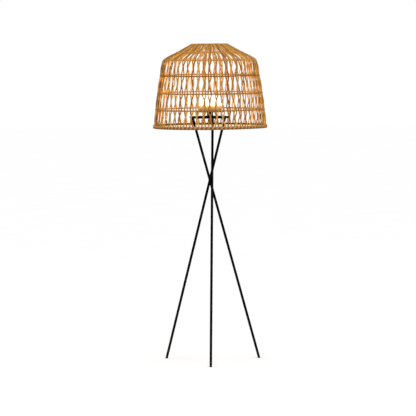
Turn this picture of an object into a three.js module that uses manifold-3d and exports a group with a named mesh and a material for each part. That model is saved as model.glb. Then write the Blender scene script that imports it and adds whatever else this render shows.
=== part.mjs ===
// Rattan floor lamp with a crossing steel tripod.
// Lengths are in millimetres, +Z is up and the lamp stands on z = 0 with its axis on x = y = 0.
// The front foot points to -Y.
import * as THREE from "three";
import { mergeVertices } from "three/addons/utils/BufferGeometryUtils.js";
import Module from "manifold-3d";

// Gaps between pieces that touch or slide
const restGap = 0.3;
const boreGap = 0.4;
const shadeRingGap = 2.5;
const cutOverrun = 20;

// Tripod: three straight tubes that pass each other at the waist
const legCount = 3;
const footCircleRadius = 255;
const legTopCircleRadius = 87.5;
const crownUnderside = 1150;
const legRadius = 6;
const legWall = 1.2;
const footHeadLength = 11;
const footSpigotLength = 18;
const footRounding = 3;
const footDip = 1.2;
const insertLength = 26;
const screwRadius = 2;
const screwLength = 24;
const screwHeadRadius = 3.8;
const screwHeadHeight = 2.4;
const screwHeadSink = 2;

// Crown: a flat ring over the leg tops with a hub and three spokes, welded into one piece
const crownInnerMargin = 1.5;
const crownOuterMargin = 2.5;
const crownThickness = 8;
const crownChamfer = 1;
const hubRadius = 22;
const hubThickness = 6;
const spokeWidth = 14;

// Centre column
const nippleRadius = 5;
const nippleWall = 1.5;
const washerRadius = 11;
const washerThickness = 1.5;
const nutAcrossFlats = 17;
const nutThickness = 5;
const glandLength = 16;
const glandRadius = 9;
const glandMouthRadius = 6.5;
const glandTaperLength = 7;
const glandBoreRadius = 3.6;
const glandSocketDepth = 8.5;
const stemRadius = 14;
const stemHeight = 19.7;
const stemFootHeight = 3;
const stemFootLip = 1;
const stemFillet = 3;
const seatPlateMargin = 2.5;
const seatPlateThickness = 3;
const seatPlateEdge = 1;

// Cup and dome: the dome's foot stands on a ledge in a rebate of the cup
const domeRadius = 53;
const domeWall = 3;
const domeSkirt = 8;
const cupRim = 4;
const cupSwell = 7;
const cupHeight = 27;
const cupFloor = 8;
const cupLip = 1.4;
const ledgeWidth = 7;
const rebateDepth = 5;

// Lampholder and capsule bulb
const holderRadius = 11;
const holderHeight = 20;
const holderSocketDepth = 6;
const pinSpacing = 9;
const pinRadius = 0.9;
const pinLength = 10;
const bulbBaseWidth = 14;
const bulbBaseDepth = 9;
const bulbBaseHeight = 10;
const bulbRadius = 8.5;
const bulbHeadroom = 6.4;

// Shade: radii of the middle of the weave, and the drops from hoop to hoop and on to the bottom border.
// The carrier's hoop lies inside the wall's lowest hoop.
const columnCount = 54;
const topEdgeRadius = 90;
const coneHoopRadius = 156;
const shoulderRadius = 218;
const wallFootRadius = 262;
const hoopFlareShares = [0.3125, 0.625, 0.84375];
const coneDrop = 70.25;
const hoopDrops = [71, 83, 78];
const footDrop = 70;
const borderHeight = 16;
const borderWidth = 11;
const borderInset = 0.5;
const borderRounding = 4;
const topBorderCover = 5;
const topBorderHeight = 9;
const topBorderWidth = 7;
const topBorderBevel = 1.75;

// Weave: pairs of strands that cross half way between two hoops
const strandWidth = 5;
const crossingWidth = 8;
const weaveThickness = 5;
const strapHeight = 7;
const coneLeastGap = 3;
const hoopHeight = 5.5;
const hoopDepth = 3;

// Shade carrier: steel wire hoop, arms and fitter ring
const wireRadius = 2.5;
const armCount = 3;
const armRise = 6.2;

// Facets round a full turn, and steps along a rounded profile
const hoopFacets = 36;
const turnedFacets = 32;
const legFacets = 16;
const smallFacets = 12;
const pinFacets = 8;
const wireFacets = 6;
const domeSteps = 6;
const swellSteps = 4;
const bulbSteps = 4;
const roundingSteps = 2;

const wasm = await Module();
wasm.setup();

const materials = {
  blackSteel: new THREE.MeshStandardMaterial({ color: 0x17171a, roughness: 0.45, metalness: 0.6 }),
  brownSteel: new THREE.MeshStandardMaterial({ color: 0x8a5a2c, roughness: 0.5, metalness: 0.3 }),
  blackPlastic: new THREE.MeshStandardMaterial({ color: 0x101011, roughness: 0.7, metalness: 0 }),
  zincSteel: new THREE.MeshStandardMaterial({ color: 0xb4b4b0, roughness: 0.35, metalness: 0.9 }),
  turnedWood: new THREE.MeshStandardMaterial({ color: 0x9a6a3c, roughness: 0.55, metalness: 0 }),
  opalGlass: new THREE.MeshStandardMaterial({ color: 0xfff4e2, roughness: 0.25, metalness: 0 }),
  clearGlass: new THREE.MeshStandardMaterial({ color: 0xf4f2ea, roughness: 0.15, metalness: 0 }),
  ceramic: new THREE.MeshStandardMaterial({ color: 0xe9e5db, roughness: 0.5, metalness: 0 }),
  rattan: new THREE.MeshStandardMaterial({ color: 0xc48d52, roughness: 0.6, metalness: 0 }),
  darkRattan: new THREE.MeshStandardMaterial({ color: 0x85572f, roughness: 0.65, metalness: 0 }),
};

// A closed geometry as a solid that can be cut and joined.
function toSolid(geometry) {
  const bare = geometry.clone();
  bare.deleteAttribute("normal");
  bare.deleteAttribute("uv");
  const merged = mergeVertices(bare);
  const vertProperties = merged.attributes.position.array;
  const triVerts = new Uint32Array(merged.index.array);
  return new wasm.Manifold(new wasm.Mesh({ numProp: 3, vertProperties, triVerts }));
}

function toGeometry(solid) {
  const mesh = solid.getMesh();
  const geometry = new THREE.BufferGeometry();
  geometry.setAttribute("position", new THREE.BufferAttribute(mesh.vertProperties, mesh.numProp));
  geometry.setIndex(new THREE.BufferAttribute(mesh.triVerts, 1));
  geometry.computeVertexNormals();
  return geometry;
}

// A profile of [radius, height] points turned round the Z axis.
function turned(profile, facets) {
  const points = profile.map(([radius, height]) => new THREE.Vector2(radius, height));
  const geometry = new THREE.LatheGeometry(points, facets);
  geometry.rotateX(Math.PI / 2);
  return geometry;
}

// The same for an outline that doesn't reach the axis: it closes on its first point.
function turnedRing(outline, facets) {
  return turned([...outline, outline[0]], facets);
}

// Points of an arc in the profile plane, from one angle to another, in degrees.
function arcPoints(centreRadius, centreHeight, radius, startDegrees, endDegrees, steps) {
  const points = [];
  for (let step = 0; step <= steps; step += 1) {
    const angle = THREE.MathUtils.degToRad(startDegrees + ((endDegrees - startDegrees) * step) / steps);
    points.push([centreRadius + radius * Math.cos(angle), centreHeight + radius * Math.sin(angle)]);
  }
  return points;
}

// A wire's cross-section with a flat below and above, its corners on the wire's radius.
function wireSection(centreRadius, centreHeight) {
  return arcPoints(centreRadius, centreHeight, wireRadius, 0, 360 - 360 / wireFacets, wireFacets - 1);
}

function cylinderBetween(radius, low, high, facets) {
  return turned([[0, low], [radius, low], [radius, high], [0, high]], facets);
}

function tubeBetween(outerRadius, innerRadius, low, high, facets) {
  const outline = [
    [innerRadius, low],
    [outerRadius, low],
    [outerRadius, high],
    [innerRadius, high],
  ];
  return turnedRing(outline, facets);
}

function hexagonalNut(low) {
  const cornerRadius = nutAcrossFlats / 2 / Math.cos(Math.PI / 6);
  const corners = [];
  for (let corner = 0; corner < 6; corner += 1) {
    const angle = (corner * Math.PI) / 3;
    corners.push(new THREE.Vector2(cornerRadius * Math.cos(angle), cornerRadius * Math.sin(angle)));
  }
  const outline = new THREE.Shape(corners);
  const bore = new THREE.Path();
  bore.absarc(0, 0, nippleRadius + boreGap, 0, Math.PI * 2, true);
  outline.holes.push(bore);
  const settings = { depth: nutThickness, bevelEnabled: false, curveSegments: smallFacets };
  const geometry = new THREE.ExtrudeGeometry(outline, settings);
  geometry.translate(0, 0, low);
  return geometry;
}

// Leg line: each leg's axis is a straight generator of one hyperboloid. At the waist it passes the lamp's
// axis at the distance at which three crossing tubes just clear each other.
const legSlope = (footCircleRadius + legTopCircleRadius) / crownUnderside;
const waistOffset = ((2 * legRadius + restGap) * Math.sqrt(1 + legSlope ** 2 / 4)) / Math.sqrt(3);
const footRun = Math.sqrt(footCircleRadius ** 2 - waistOffset ** 2);
const topRun = Math.sqrt(legTopCircleRadius ** 2 - waistOffset ** 2);
const legTilt = Math.atan2(footRun + topRun, crownUnderside);
const legLength = Math.hypot(footRun + topRun, crownUnderside);
const legBoreRadius = legRadius - legWall;
const insertRadius = legBoreRadius - restGap;
const crownInnerRadius = legTopCircleRadius - legRadius - crownInnerMargin;
const crownOuterRadius = legTopCircleRadius + legRadius + crownOuterMargin;
const crownTop = crownUnderside + crownThickness;

// Lays a geometry that was made along +Z from its foot onto the first leg's axis.
function alongLeg(geometry) {
  geometry.rotateX(-legTilt);
  geometry.translate(waistOffset, -footRun, 0);
  return geometry;
}

// Keeps what lies between two heights.
function trimmed(geometry, low, high) {
  const side = 2 * (footCircleRadius + cutOverrun);
  const slab = new THREE.BoxGeometry(side, side, high - low);
  slab.translate(0, 0, (low + high) / 2);
  return toGeometry(toSolid(geometry).intersect(toSolid(slab)));
}

function legTube() {
  const start = footHeadLength + restGap;
  const tube = alongLeg(tubeBetween(legRadius, legBoreRadius, start, legLength + cutOverrun, legFacets));
  return trimmed(tube, 0, crownUnderside - restGap);
}

function footPlug() {
  const shoulder = footHeadLength;
  const edgeRadius = legRadius - footRounding;
  const edge = arcPoints(edgeRadius, footRounding - footDip, footRounding, -90, 0, roundingSteps);
  const profile = [
    [0, -footDip],
    ...edge,
    [legRadius, shoulder],
    [insertRadius, shoulder],
    [insertRadius, shoulder + footSpigotLength],
    [0, shoulder + footSpigotLength],
  ];
  return trimmed(alongLeg(turned(profile, legFacets)), 0, crownUnderside);
}

function legInsert() {
  const start = legLength - insertLength;
  const holeRadius = screwRadius + restGap;
  const insert = alongLeg(tubeBetween(insertRadius, holeRadius, start, legLength + cutOverrun, smallFacets));
  return trimmed(insert, 0, crownUnderside - restGap);
}

// The screw head's seat in the crown, measured along the leg's axis from the floor.
const screwSeat = legLength + crownThickness / Math.cos(legTilt) - screwHeadSink;

function legScrew() {
  const seat = screwSeat + restGap;
  const headTop = seat + screwHeadHeight;
  const headEdge = screwHeadRadius - screwHeadHeight / 2;
  const profile = [
    [0, seat - screwLength],
    [screwRadius, seat - screwLength],
    [screwRadius, seat],
    [screwHeadRadius, seat],
    [screwHeadRadius, seat + screwHeadHeight / 2],
    [headEdge, headTop],
    [0, headTop],
  ];
  return alongLeg(turned(profile, smallFacets));
}

function crown() {
  const ring = turnedRing(
    [
      [crownInnerRadius, crownUnderside],
      [crownOuterRadius - crownChamfer, crownUnderside],
      [crownOuterRadius, crownUnderside + crownChamfer],
      [crownOuterRadius, crownTop - crownChamfer],
      [crownOuterRadius - crownChamfer, crownTop],
      [crownInnerRadius, crownTop],
    ],
    hoopFacets,
  );
  const hub = cylinderBetween(hubRadius, crownTop - hubThickness, crownTop, turnedFacets);
  const bore = cylinderBetween(nippleRadius + boreGap, 0, crownTop + cutOverrun, smallFacets);
  const spokeReach = (crownInnerRadius + crownOuterRadius) / 2;
  const holes = [];
  let solid = toSolid(ring).add(toSolid(hub));
  for (let index = 0; index < legCount; index += 1) {
    const turn = (index * 2 * Math.PI) / legCount;
    const spoke = new THREE.BoxGeometry(spokeReach, spokeWidth, hubThickness);
    spoke.translate(spokeReach / 2, 0, crownTop - hubThickness / 2);
    spoke.rotateZ(Math.atan2(topRun, waistOffset) + turn);
    const spokeEnd = cylinderBetween(crownInnerRadius + crownChamfer, 0, crownTop, hoopFacets);
    solid = solid.add(toSolid(spoke).intersect(toSolid(spokeEnd)));
    const shankRadius = screwRadius + restGap;
    const headRadius = screwHeadRadius + restGap;
    const holeTop = screwSeat + cutOverrun;
    const shankHole = cylinderBetween(shankRadius, legLength - cutOverrun, holeTop, smallFacets);
    const headHole = cylinderBetween(headRadius, screwSeat, holeTop, smallFacets);
    for (const hole of [shankHole, headHole]) {
      alongLeg(hole);
      hole.rotateZ(turn);
      holes.push(hole);
    }
  }
  for (const hole of [bore, ...holes]) {
    solid = solid.subtract(toSolid(hole));
  }
  return toGeometry(solid);
}

// Centre column, from the hub down
const washerLow = crownTop - hubThickness - restGap - washerThickness;
const lowerNutLow = washerLow - restGap - nutThickness;
const glandTop = lowerNutLow - restGap;
const nippleLow = glandTop - glandSocketDepth + restGap;

// Centre column, from the hub up
const stemLow = crownTop + restGap;
const stemTop = stemLow + stemHeight;
const seatPlateLow = stemTop + restGap;
const seatPlateTop = seatPlateLow + seatPlateThickness;
const cupLow = seatPlateTop + restGap;
const cupTop = cupLow + cupHeight;
const upperNutLow = cupLow + cupFloor + restGap;
const holderLow = upperNutLow + nutThickness + restGap;
const holderTop = holderLow + holderHeight;
const nippleTop = holderLow + holderSocketDepth - restGap;
const bulbLow = holderTop + restGap;
const domeLow = cupTop - rebateDepth + restGap;
const bulbTop = domeLow + domeSkirt + domeRadius - domeWall - bulbHeadroom;

const boreRadius = nippleRadius + boreGap;
const cupRadius = domeRadius + cupRim;
const fitterRadius = cupRadius + shadeRingGap + wireRadius;
const seatPlateRadius = fitterRadius + wireRadius + seatPlateMargin;

function nipple() {
  return tubeBetween(nippleRadius, nippleRadius - nippleWall, nippleLow, nippleTop, smallFacets);
}

function lowerWasher() {
  return tubeBetween(washerRadius, boreRadius, washerLow, washerLow + washerThickness, smallFacets);
}

function cordGland() {
  const low = glandTop - glandLength;
  const socketFloor = glandTop - glandSocketDepth;
  const outline = [
    [glandBoreRadius, low],
    [glandMouthRadius, low],
    [glandRadius, low + glandTaperLength],
    [glandRadius, glandTop],
    [boreRadius, glandTop],
    [boreRadius, socketFloor],
    [glandBoreRadius, socketFloor],
  ];
  return turnedRing(outline, smallFacets);
}

function stem() {
  const footTop = stemLow + stemFootHeight;
  const filletRadius = stemRadius + stemFillet;
  const footRadius = filletRadius + stemFootLip;
  const outline = [
    [boreRadius, stemLow],
    [footRadius, stemLow],
    [footRadius, footTop],
    ...arcPoints(filletRadius, footTop + stemFillet, stemFillet, 270, 180, roundingSteps),
    [stemRadius, stemTop],
    [boreRadius, stemTop],
  ];
  return turnedRing(outline, turnedFacets);
}

function seatPlate() {
  const outline = [
    [boreRadius, seatPlateLow],
    [seatPlateRadius - seatPlateEdge, seatPlateLow],
    [seatPlateRadius, seatPlateLow + seatPlateEdge],
    [seatPlateRadius, seatPlateTop],
    [boreRadius, seatPlateTop],
  ];
  return turnedRing(outline, turnedFacets);
}

// The cup's outside swells from its foot to its full radius along a quarter of an ellipse.
function cup() {
  const recessRadius = domeRadius - ledgeWidth;
  const swellHeight = cupHeight - cupLip - rebateDepth;
  const swell = [];
  for (let step = 0; step <= swellSteps; step += 1) {
    const angle = (Math.PI / 2) * (step / swellSteps);
    const radius = cupRadius - cupSwell * (1 - Math.sin(angle));
    swell.push([radius, cupLow + swellHeight * (1 - Math.cos(angle))]);
  }
  const ledge = cupTop - rebateDepth;
  const rebateRadius = domeRadius + restGap;
  const outline = [
    [boreRadius, cupLow],
    ...swell,
    [cupRadius, cupTop - cupLip],
    [cupRadius - cupLip, cupTop],
    [rebateRadius, cupTop],
    [rebateRadius, ledge],
    [recessRadius, ledge],
    [recessRadius, cupLow + cupFloor + cupLip],
    [recessRadius - cupLip, cupLow + cupFloor],
    [boreRadius, cupLow + cupFloor],
  ];
  return turnedRing(outline, turnedFacets);
}

function lampholder() {
  const body = toSolid(cylinderBetween(holderRadius, holderLow, holderTop, smallFacets));
  const socketTop = holderLow + holderSocketDepth;
  const socket = cylinderBetween(boreRadius, holderLow - cutOverrun, socketTop, smallFacets);
  let solid = body.subtract(toSolid(socket));
  for (const side of [-1, 1]) {
    const holeLow = bulbLow - pinLength - boreGap;
    const hole = cylinderBetween(pinRadius + boreGap, holeLow, holderTop + cutOverrun, pinFacets);
    hole.translate((side * pinSpacing) / 2, 0, 0);
    solid = solid.subtract(toSolid(hole));
  }
  return toGeometry(solid);
}

function bulb() {
  const base = new THREE.BoxGeometry(bulbBaseWidth, bulbBaseDepth, bulbBaseHeight);
  base.translate(0, 0, bulbLow + bulbBaseHeight / 2);
  const glassLow = bulbLow + bulbBaseHeight / 2;
  const roundHeight = bulbTop - bulbRadius;
  const lastDegrees = 90 - 90 / bulbSteps;
  const profile = [
    [0, glassLow],
    [bulbRadius, glassLow],
    ...arcPoints(0, roundHeight, bulbRadius, 0, lastDegrees, bulbSteps - 1),
    [0, bulbTop],
  ];
  const glass = turned(profile, smallFacets);
  let solid = toSolid(base).add(toSolid(glass));
  for (const side of [-1, 1]) {
    const pin = cylinderBetween(pinRadius, bulbLow - pinLength, glassLow, pinFacets);
    pin.translate((side * pinSpacing) / 2, 0, 0);
    solid = solid.add(toSolid(pin));
  }
  return toGeometry(solid);
}

// An opal dome: a hemisphere on a short straight skirt that stands in the cup's rebate.
function dome() {
  const centre = domeLow + domeSkirt;
  const innerRadius = domeRadius - domeWall;
  const lastDegrees = 90 - 90 / domeSteps;
  const profile = [
    [0, centre + innerRadius],
    ...arcPoints(0, centre, innerRadius, lastDegrees, 0, domeSteps - 1),
    [innerRadius, domeLow],
    [domeRadius, domeLow],
    ...arcPoints(0, centre, domeRadius, 0, lastDegrees, domeSteps - 1),
    [0, centre + domeRadius],
  ];
  return turned(profile, turnedFacets);
}

// Shade lines, from the fitter ring on the seat plate to the lowest hoop and on from hoop to hoop. The
// cone is straight from its top edge to the shoulder, where it ends at the upper edge of the hoop.
const wireFlat = wireRadius * Math.cos(Math.PI / wireFacets);
const fitterHeight = seatPlateTop + restGap + wireFlat;
const carrierHeight = fitterHeight + armRise;
const shoulderHeight = carrierHeight + hoopDrops.reduce((sum, drop) => sum + drop, 0);
const wallHoopHeights = hoopDrops.map((drop, index) => {
  const above = hoopDrops.slice(0, index + 1);
  return shoulderHeight - above.reduce((sum, part) => sum + part, 0);
});
const borderTop = carrierHeight - footDrop;
const topEdgeHeight = shoulderHeight + hoopHeight / 2 + coneDrop;
const shadeTop = topEdgeHeight + topBorderCover;
const coneRun = shoulderRadius - topEdgeRadius;
const coneLength = Math.hypot(coneRun, coneDrop);
const coneNormal = { radial: coneDrop / coneLength, up: coneRun / coneLength };
const wallNormal = { radial: 1, up: 0 };
const halfWeave = weaveThickness / 2;

function coneHeightAt(radius) {
  return topEdgeHeight - (coneDrop * (radius - topEdgeRadius)) / coneRun;
}

const wallTop = coneHeightAt(shoulderRadius) - halfWeave * coneNormal.up - restGap;
const wallHeights = [shoulderHeight, ...wallHoopHeights, borderTop + strapHeight / 2 + restGap];
const wallHoopRadii = hoopFlareShares.map((share) => {
  return THREE.MathUtils.lerp(shoulderRadius, wallFootRadius, share);
});
const wallRadii = [shoulderRadius, ...wallHoopRadii, wallFootRadius];

function wallRadiusAt(height) {
  const below = Math.max(1, wallHeights.findIndex((level) => level <= height));
  const share = (wallHeights[below - 1] - height) / (wallHeights[below - 1] - wallHeights[below]);
  return THREE.MathUtils.lerp(wallRadii[below - 1], wallRadii[below], Math.max(0, share));
}

function columnPitch(radius) {
  return (2 * Math.PI * radius) / columnCount;
}

// One row of gap corners: at a given radius and height, each gap is 2 * halfGap wide.
function gapLevel(radius, height, halfGap) {
  return { radius, height, halfAngle: halfGap / radius };
}

// A closed lattice shell. levels run from the top edge to the bottom edge, and bands lists the first and
// last level of each row of gaps. Every level has two corners per column on each skin, at the gap's sides.
function latticeShell(levels, bands, normal) {
  const positions = [];
  const indices = [];
  const pitchAngle = (2 * Math.PI) / columnCount;
  for (const { radius, height, halfAngle } of levels) {
    for (let column = 0; column < columnCount; column += 1) {
      for (const side of [-1, 1]) {
        const angle = column * pitchAngle - Math.PI / 2 + side * halfAngle;
        for (const skin of [1, -1]) {
          const skinRadius = radius + skin * halfWeave * normal.radial;
          const skinHeight = height + skin * halfWeave * normal.up;
          positions.push(skinRadius * Math.cos(angle), skinRadius * Math.sin(angle), skinHeight);
        }
      }
    }
  }
  const corner = (level, column, side, skin) => {
    const gap = level * columnCount + (column % columnCount);
    return (gap * 2 + side) * 2 + skin;
  };
  const quad = (a, b, c, d) => indices.push(a, b, c, a, c, d);
  const bothSkins = (upper, left, leftSide, right, rightSide) => {
    const lower = upper + 1;
    const outer = [
      [lower, left, leftSide],
      [lower, right, rightSide],
      [upper, right, rightSide],
      [upper, left, leftSide],
    ];
    quad(...outer.map(([level, column, side]) => corner(level, column, side, 0)));
    quad(...outer.reverse().map(([level, column, side]) => corner(level, column, side, 1)));
  };
  const shelf = (level, left, leftSide, right, rightSide, facesUp) => {
    const ring = [
      corner(level, left, leftSide, 0),
      corner(level, right, rightSide, 0),
      corner(level, right, rightSide, 1),
      corner(level, left, leftSide, 1),
    ];
    quad(...(facesUp ? ring : ring.reverse()));
  };
  const jamb = (upper, column, side) => {
    const face = [
      corner(upper + 1, column, side, 0),
      corner(upper + 1, column, side, 1),
      corner(upper, column, side, 1),
      corner(upper, column, side, 0),
    ];
    quad(...(side === 0 ? face : face.reverse()));
  };
  const lastLevel = levels.length - 1;
  const isOpen = (upper) => bands.some(([first, last]) => upper >= first && upper < last);
  for (let column = 0; column < columnCount; column += 1) {
    const next = column + 1;
    for (let upper = 0; upper < lastLevel; upper += 1) {
      bothSkins(upper, column, 1, next, 0);
      if (isOpen(upper)) {
        jamb(upper, column, 0);
        jamb(upper, column, 1);
      } else {
        bothSkins(upper, column, 0, column, 1);
      }
    }
    for (const [first, last] of bands) {
      shelf(first, column, 0, column, 1, false);
      shelf(last, column, 0, column, 1, true);
    }
    shelf(0, column, 0, column, 1, true);
    shelf(0, column, 1, next, 0, true);
    shelf(lastLevel, column, 0, column, 1, false);
    shelf(lastLevel, column, 1, next, 0, false);
  }
  const geometry = new THREE.BufferGeometry();
  geometry.setAttribute("position", new THREE.Float32BufferAttribute(positions, 3));
  geometry.setIndex(indices);
  geometry.computeVertexNormals();
  return geometry;
}

// The wall: between two hoops the strands of a pair run from an even spacing at the hoops to their
// crossing half way, so each gap between two pairs is widest there.
function wallWeave() {
  const hoopGap = (radius) => (columnPitch(radius) / 2 - strandWidth) / 2;
  const middleGap = (radius) => (columnPitch(radius) - crossingWidth) / 2;
  const levels = [gapLevel(wallRadii[0], wallTop, hoopGap(wallRadii[0]))];
  const bands = [];
  for (let index = 0; index + 1 < wallRadii.length; index += 1) {
    const drop = wallHeights[index] - wallHeights[index + 1];
    const strapShare = strapHeight / 2 / drop;
    const first = levels.length;
    for (const share of [strapShare, 1 / 2, 1 - strapShare]) {
      const radius = THREE.MathUtils.lerp(wallRadii[index], wallRadii[index + 1], share);
      const halfGap = share === 1 / 2 ? middleGap(radius) : hoopGap(radius);
      levels.push(gapLevel(radius, wallHeights[index] - drop * share, halfGap));
    }
    bands.push([first, levels.length - 1]);
  }
  levels.push(gapLevel(wallFootRadius, borderTop + restGap, hoopGap(wallFootRadius)));
  return latticeShell(levels, bands, wallNormal);
}

// The cone: slots that open downwards from the radius where the pairs first leave a gap.
function coneWeave() {
  const pairWidth = 2 * strandWidth;
  const openRadius = ((pairWidth + coneLeastGap) * columnCount) / (2 * Math.PI);
  const slotTopRadius = Math.max(openRadius, topEdgeRadius + strapHeight);
  const slotFootRadius = shoulderRadius - strapHeight;
  const halfGap = (radius) => (columnPitch(radius) - pairWidth) / 2;
  const narrow = halfGap(slotTopRadius);
  const wide = halfGap(slotFootRadius);
  const levels = [
    gapLevel(topEdgeRadius, topEdgeHeight, narrow),
    gapLevel(slotTopRadius, coneHeightAt(slotTopRadius), narrow),
    gapLevel(slotFootRadius, coneHeightAt(slotFootRadius), wide),
    gapLevel(shoulderRadius, coneHeightAt(shoulderRadius), wide),
  ];
  return latticeShell(levels, [[1, 2]], coneNormal);
}

// A flat hoop laid on the outside of the weave: its back clears the weave's facets by the rest gap.
function hoop(radius, height, normal) {
  const clearOfFacets = 1 / Math.cos(Math.PI / hoopFacets);
  const back = halfWeave + restGap;
  const outline = [];
  for (const [out, along] of [[0, -1], [1, -1], [1, 1], [0, 1]]) {
    const reach = back + out * hoopDepth;
    const shift = (along * hoopHeight) / 2;
    const pointRadius = (radius + reach * normal.radial - shift * normal.up) * clearOfFacets;
    outline.push([pointRadius, height + reach * normal.up + shift * normal.radial]);
  }
  return turnedRing(outline, hoopFacets);
}

// A hoop on the wall leans with the weave behind it.
function wallHoop(height) {
  const upperRadius = wallRadiusAt(height + hoopHeight / 2);
  const lowerRadius = wallRadiusAt(height - hoopHeight / 2);
  const lean = Math.atan2(lowerRadius - upperRadius, hoopHeight);
  const normal = { radial: Math.cos(lean), up: Math.sin(lean) };
  return hoop((upperRadius + lowerRadius) / 2, height, normal);
}

function topBorder() {
  const outerRadius = topEdgeRadius - halfWeave * coneNormal.radial - restGap;
  const innerRadius = outerRadius - topBorderWidth;
  const low = shadeTop - topBorderHeight;
  const outline = [
    [innerRadius, low],
    [outerRadius, low],
    [outerRadius, shadeTop - topBorderBevel],
    [outerRadius - topBorderBevel, shadeTop],
    [innerRadius + topBorderBevel, shadeTop],
    [innerRadius, shadeTop - topBorderBevel],
  ];
  return turnedRing(outline, hoopFacets);
}

function bottomBorder() {
  const innerRadius = wallFootRadius - halfWeave - borderInset;
  const outerRadius = innerRadius + borderWidth;
  const low = borderTop - borderHeight;
  const outline = [
    [innerRadius, low],
    [outerRadius - borderRounding, low],
    [outerRadius, low + borderRounding],
    [outerRadius, borderTop - borderRounding],
    [outerRadius - borderRounding, borderTop],
    [innerRadius, borderTop],
  ];
  return turnedRing(outline, hoopFacets);
}

// The carrier: a hoop inside the wall at its lowest hoop, a fitter ring that lies on the seat plate round
// the cup, and arms. The wall's inner skin is flat across each pair of strands, so it comes nearest half way.
function shadeCarrier() {
  const wallRadius = wallRadiusAt(carrierHeight);
  const pairHalfAngle = (columnPitch(wallRadius) / 2 + strandWidth) / 2 / wallRadius;
  const wallInside = (wallRadius - halfWeave) * Math.cos(pairHalfAngle);
  const hoopRadius = wallInside - restGap - wireRadius;
  const upwards = new THREE.Vector3(0, 0, 1);
  let solid = toSolid(turnedRing(wireSection(hoopRadius, carrierHeight), hoopFacets));
  solid = solid.add(toSolid(turnedRing(wireSection(fitterRadius, fitterHeight), turnedFacets)));
  for (let index = 0; index < armCount; index += 1) {
    const angle = Math.PI / 2 + (index * 2 * Math.PI) / armCount;
    const inner = new THREE.Vector3(fitterRadius, 0, fitterHeight).applyAxisAngle(upwards, angle);
    const outer = new THREE.Vector3(hoopRadius, 0, carrierHeight).applyAxisAngle(upwards, angle);
    const section = new THREE.Shape();
    section.absarc(0, 0, wireRadius, 0, Math.PI * 2);
    const settings = {
      steps: 1,
      curveSegments: wireFacets,
      extrudePath: new THREE.LineCurve3(inner, outer),
    };
    solid = solid.add(toSolid(new THREE.ExtrudeGeometry(section, settings)));
  }
  return toGeometry(solid);
}

function addMesh(parent, name, geometry, material) {
  const mesh = new THREE.Mesh(geometry, material);
  mesh.name = name;
  parent.add(mesh);
}

function buildStand() {
  const stand = new THREE.Group();
  for (let index = 0; index < legCount; index += 1) {
    const legGroup = new THREE.Group();
    legGroup.rotation.z = (index * 2 * Math.PI) / legCount;
    const number = index + 1;
    addMesh(legGroup, `leg_${number}`, legTube(), materials.blackSteel);
    addMesh(legGroup, `foot_plug_${number}`, footPlug(), materials.blackPlastic);
    addMesh(legGroup, `leg_insert_${number}`, legInsert(), materials.zincSteel);
    addMesh(legGroup, `leg_screw_${number}`, legScrew(), materials.blackSteel);
    stand.add(legGroup);
  }
  addMesh(stand, "crown_ring", crown(), materials.blackSteel);
  addMesh(stand, "lower_washer", lowerWasher(), materials.zincSteel);
  addMesh(stand, "lower_nut", hexagonalNut(lowerNutLow), materials.zincSteel);
  addMesh(stand, "cord_gland", cordGland(), materials.blackPlastic);
  addMesh(stand, "nipple", nipple(), materials.zincSteel);
  addMesh(stand, "stem", stem(), materials.blackSteel);
  addMesh(stand, "seat_plate", seatPlate(), materials.blackSteel);
  addMesh(stand, "cup", cup(), materials.turnedWood);
  addMesh(stand, "upper_nut", hexagonalNut(upperNutLow), materials.zincSteel);
  addMesh(stand, "lampholder", lampholder(), materials.ceramic);
  addMesh(stand, "bulb", bulb(), materials.clearGlass);
  return stand;
}

function buildShade() {
  const shade = new THREE.Group();
  const coneHoopHeight = coneHeightAt(coneHoopRadius);
  addMesh(shade, "cone_weave", coneWeave(), materials.rattan);
  addMesh(shade, "wall_weave", wallWeave(), materials.rattan);
  addMesh(shade, "top_border", topBorder(), materials.rattan);
  addMesh(shade, "bottom_border", bottomBorder(), materials.rattan);
  addMesh(shade, "cone_hoop", hoop(coneHoopRadius, coneHoopHeight, coneNormal), materials.darkRattan);
  addMesh(shade, "shoulder_hoop", wallHoop(shoulderHeight), materials.darkRattan);
  wallHoopHeights.forEach((height, index) => {
    addMesh(shade, `wall_hoop_${index + 1}`, wallHoop(height), materials.darkRattan);
  });
  addMesh(shade, "shade_carrier", shadeCarrier(), materials.brownSteel);
  return shade;
}

const lamp = new THREE.Group();
lamp.add(buildStand());
lamp.add(buildShade());
addMesh(lamp, "dome", dome(), materials.opalGlass);

export default lamp;
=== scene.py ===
import logging
import math
from dataclasses import dataclass, field
from enum import Enum

import bpy
import numpy as np
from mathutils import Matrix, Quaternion, Vector


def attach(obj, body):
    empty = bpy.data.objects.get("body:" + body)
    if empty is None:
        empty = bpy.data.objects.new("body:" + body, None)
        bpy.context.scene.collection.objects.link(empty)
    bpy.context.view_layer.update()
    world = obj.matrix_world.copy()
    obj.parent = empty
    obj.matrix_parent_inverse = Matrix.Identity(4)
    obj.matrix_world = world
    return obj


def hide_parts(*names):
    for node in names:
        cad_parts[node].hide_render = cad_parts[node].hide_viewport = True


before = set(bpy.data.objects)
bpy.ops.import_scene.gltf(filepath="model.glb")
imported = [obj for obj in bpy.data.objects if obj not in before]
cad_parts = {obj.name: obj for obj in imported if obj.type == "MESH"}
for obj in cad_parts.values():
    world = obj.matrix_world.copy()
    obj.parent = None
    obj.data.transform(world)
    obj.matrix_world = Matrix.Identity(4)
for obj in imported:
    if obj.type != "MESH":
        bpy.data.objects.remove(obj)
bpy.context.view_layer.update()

Array = np.ndarray
Span = tuple[float, float]
Colour = tuple[float, float, float]
Triple = tuple[float, float, float]
Material = bpy.types.Material
Socket = bpy.types.NodeSocket
Inputs = dict[str | int, object]

logging.basicConfig(level=logging.INFO, format="%(name)s: %(message)s")
log = logging.getLogger("rattan_lamp")

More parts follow.
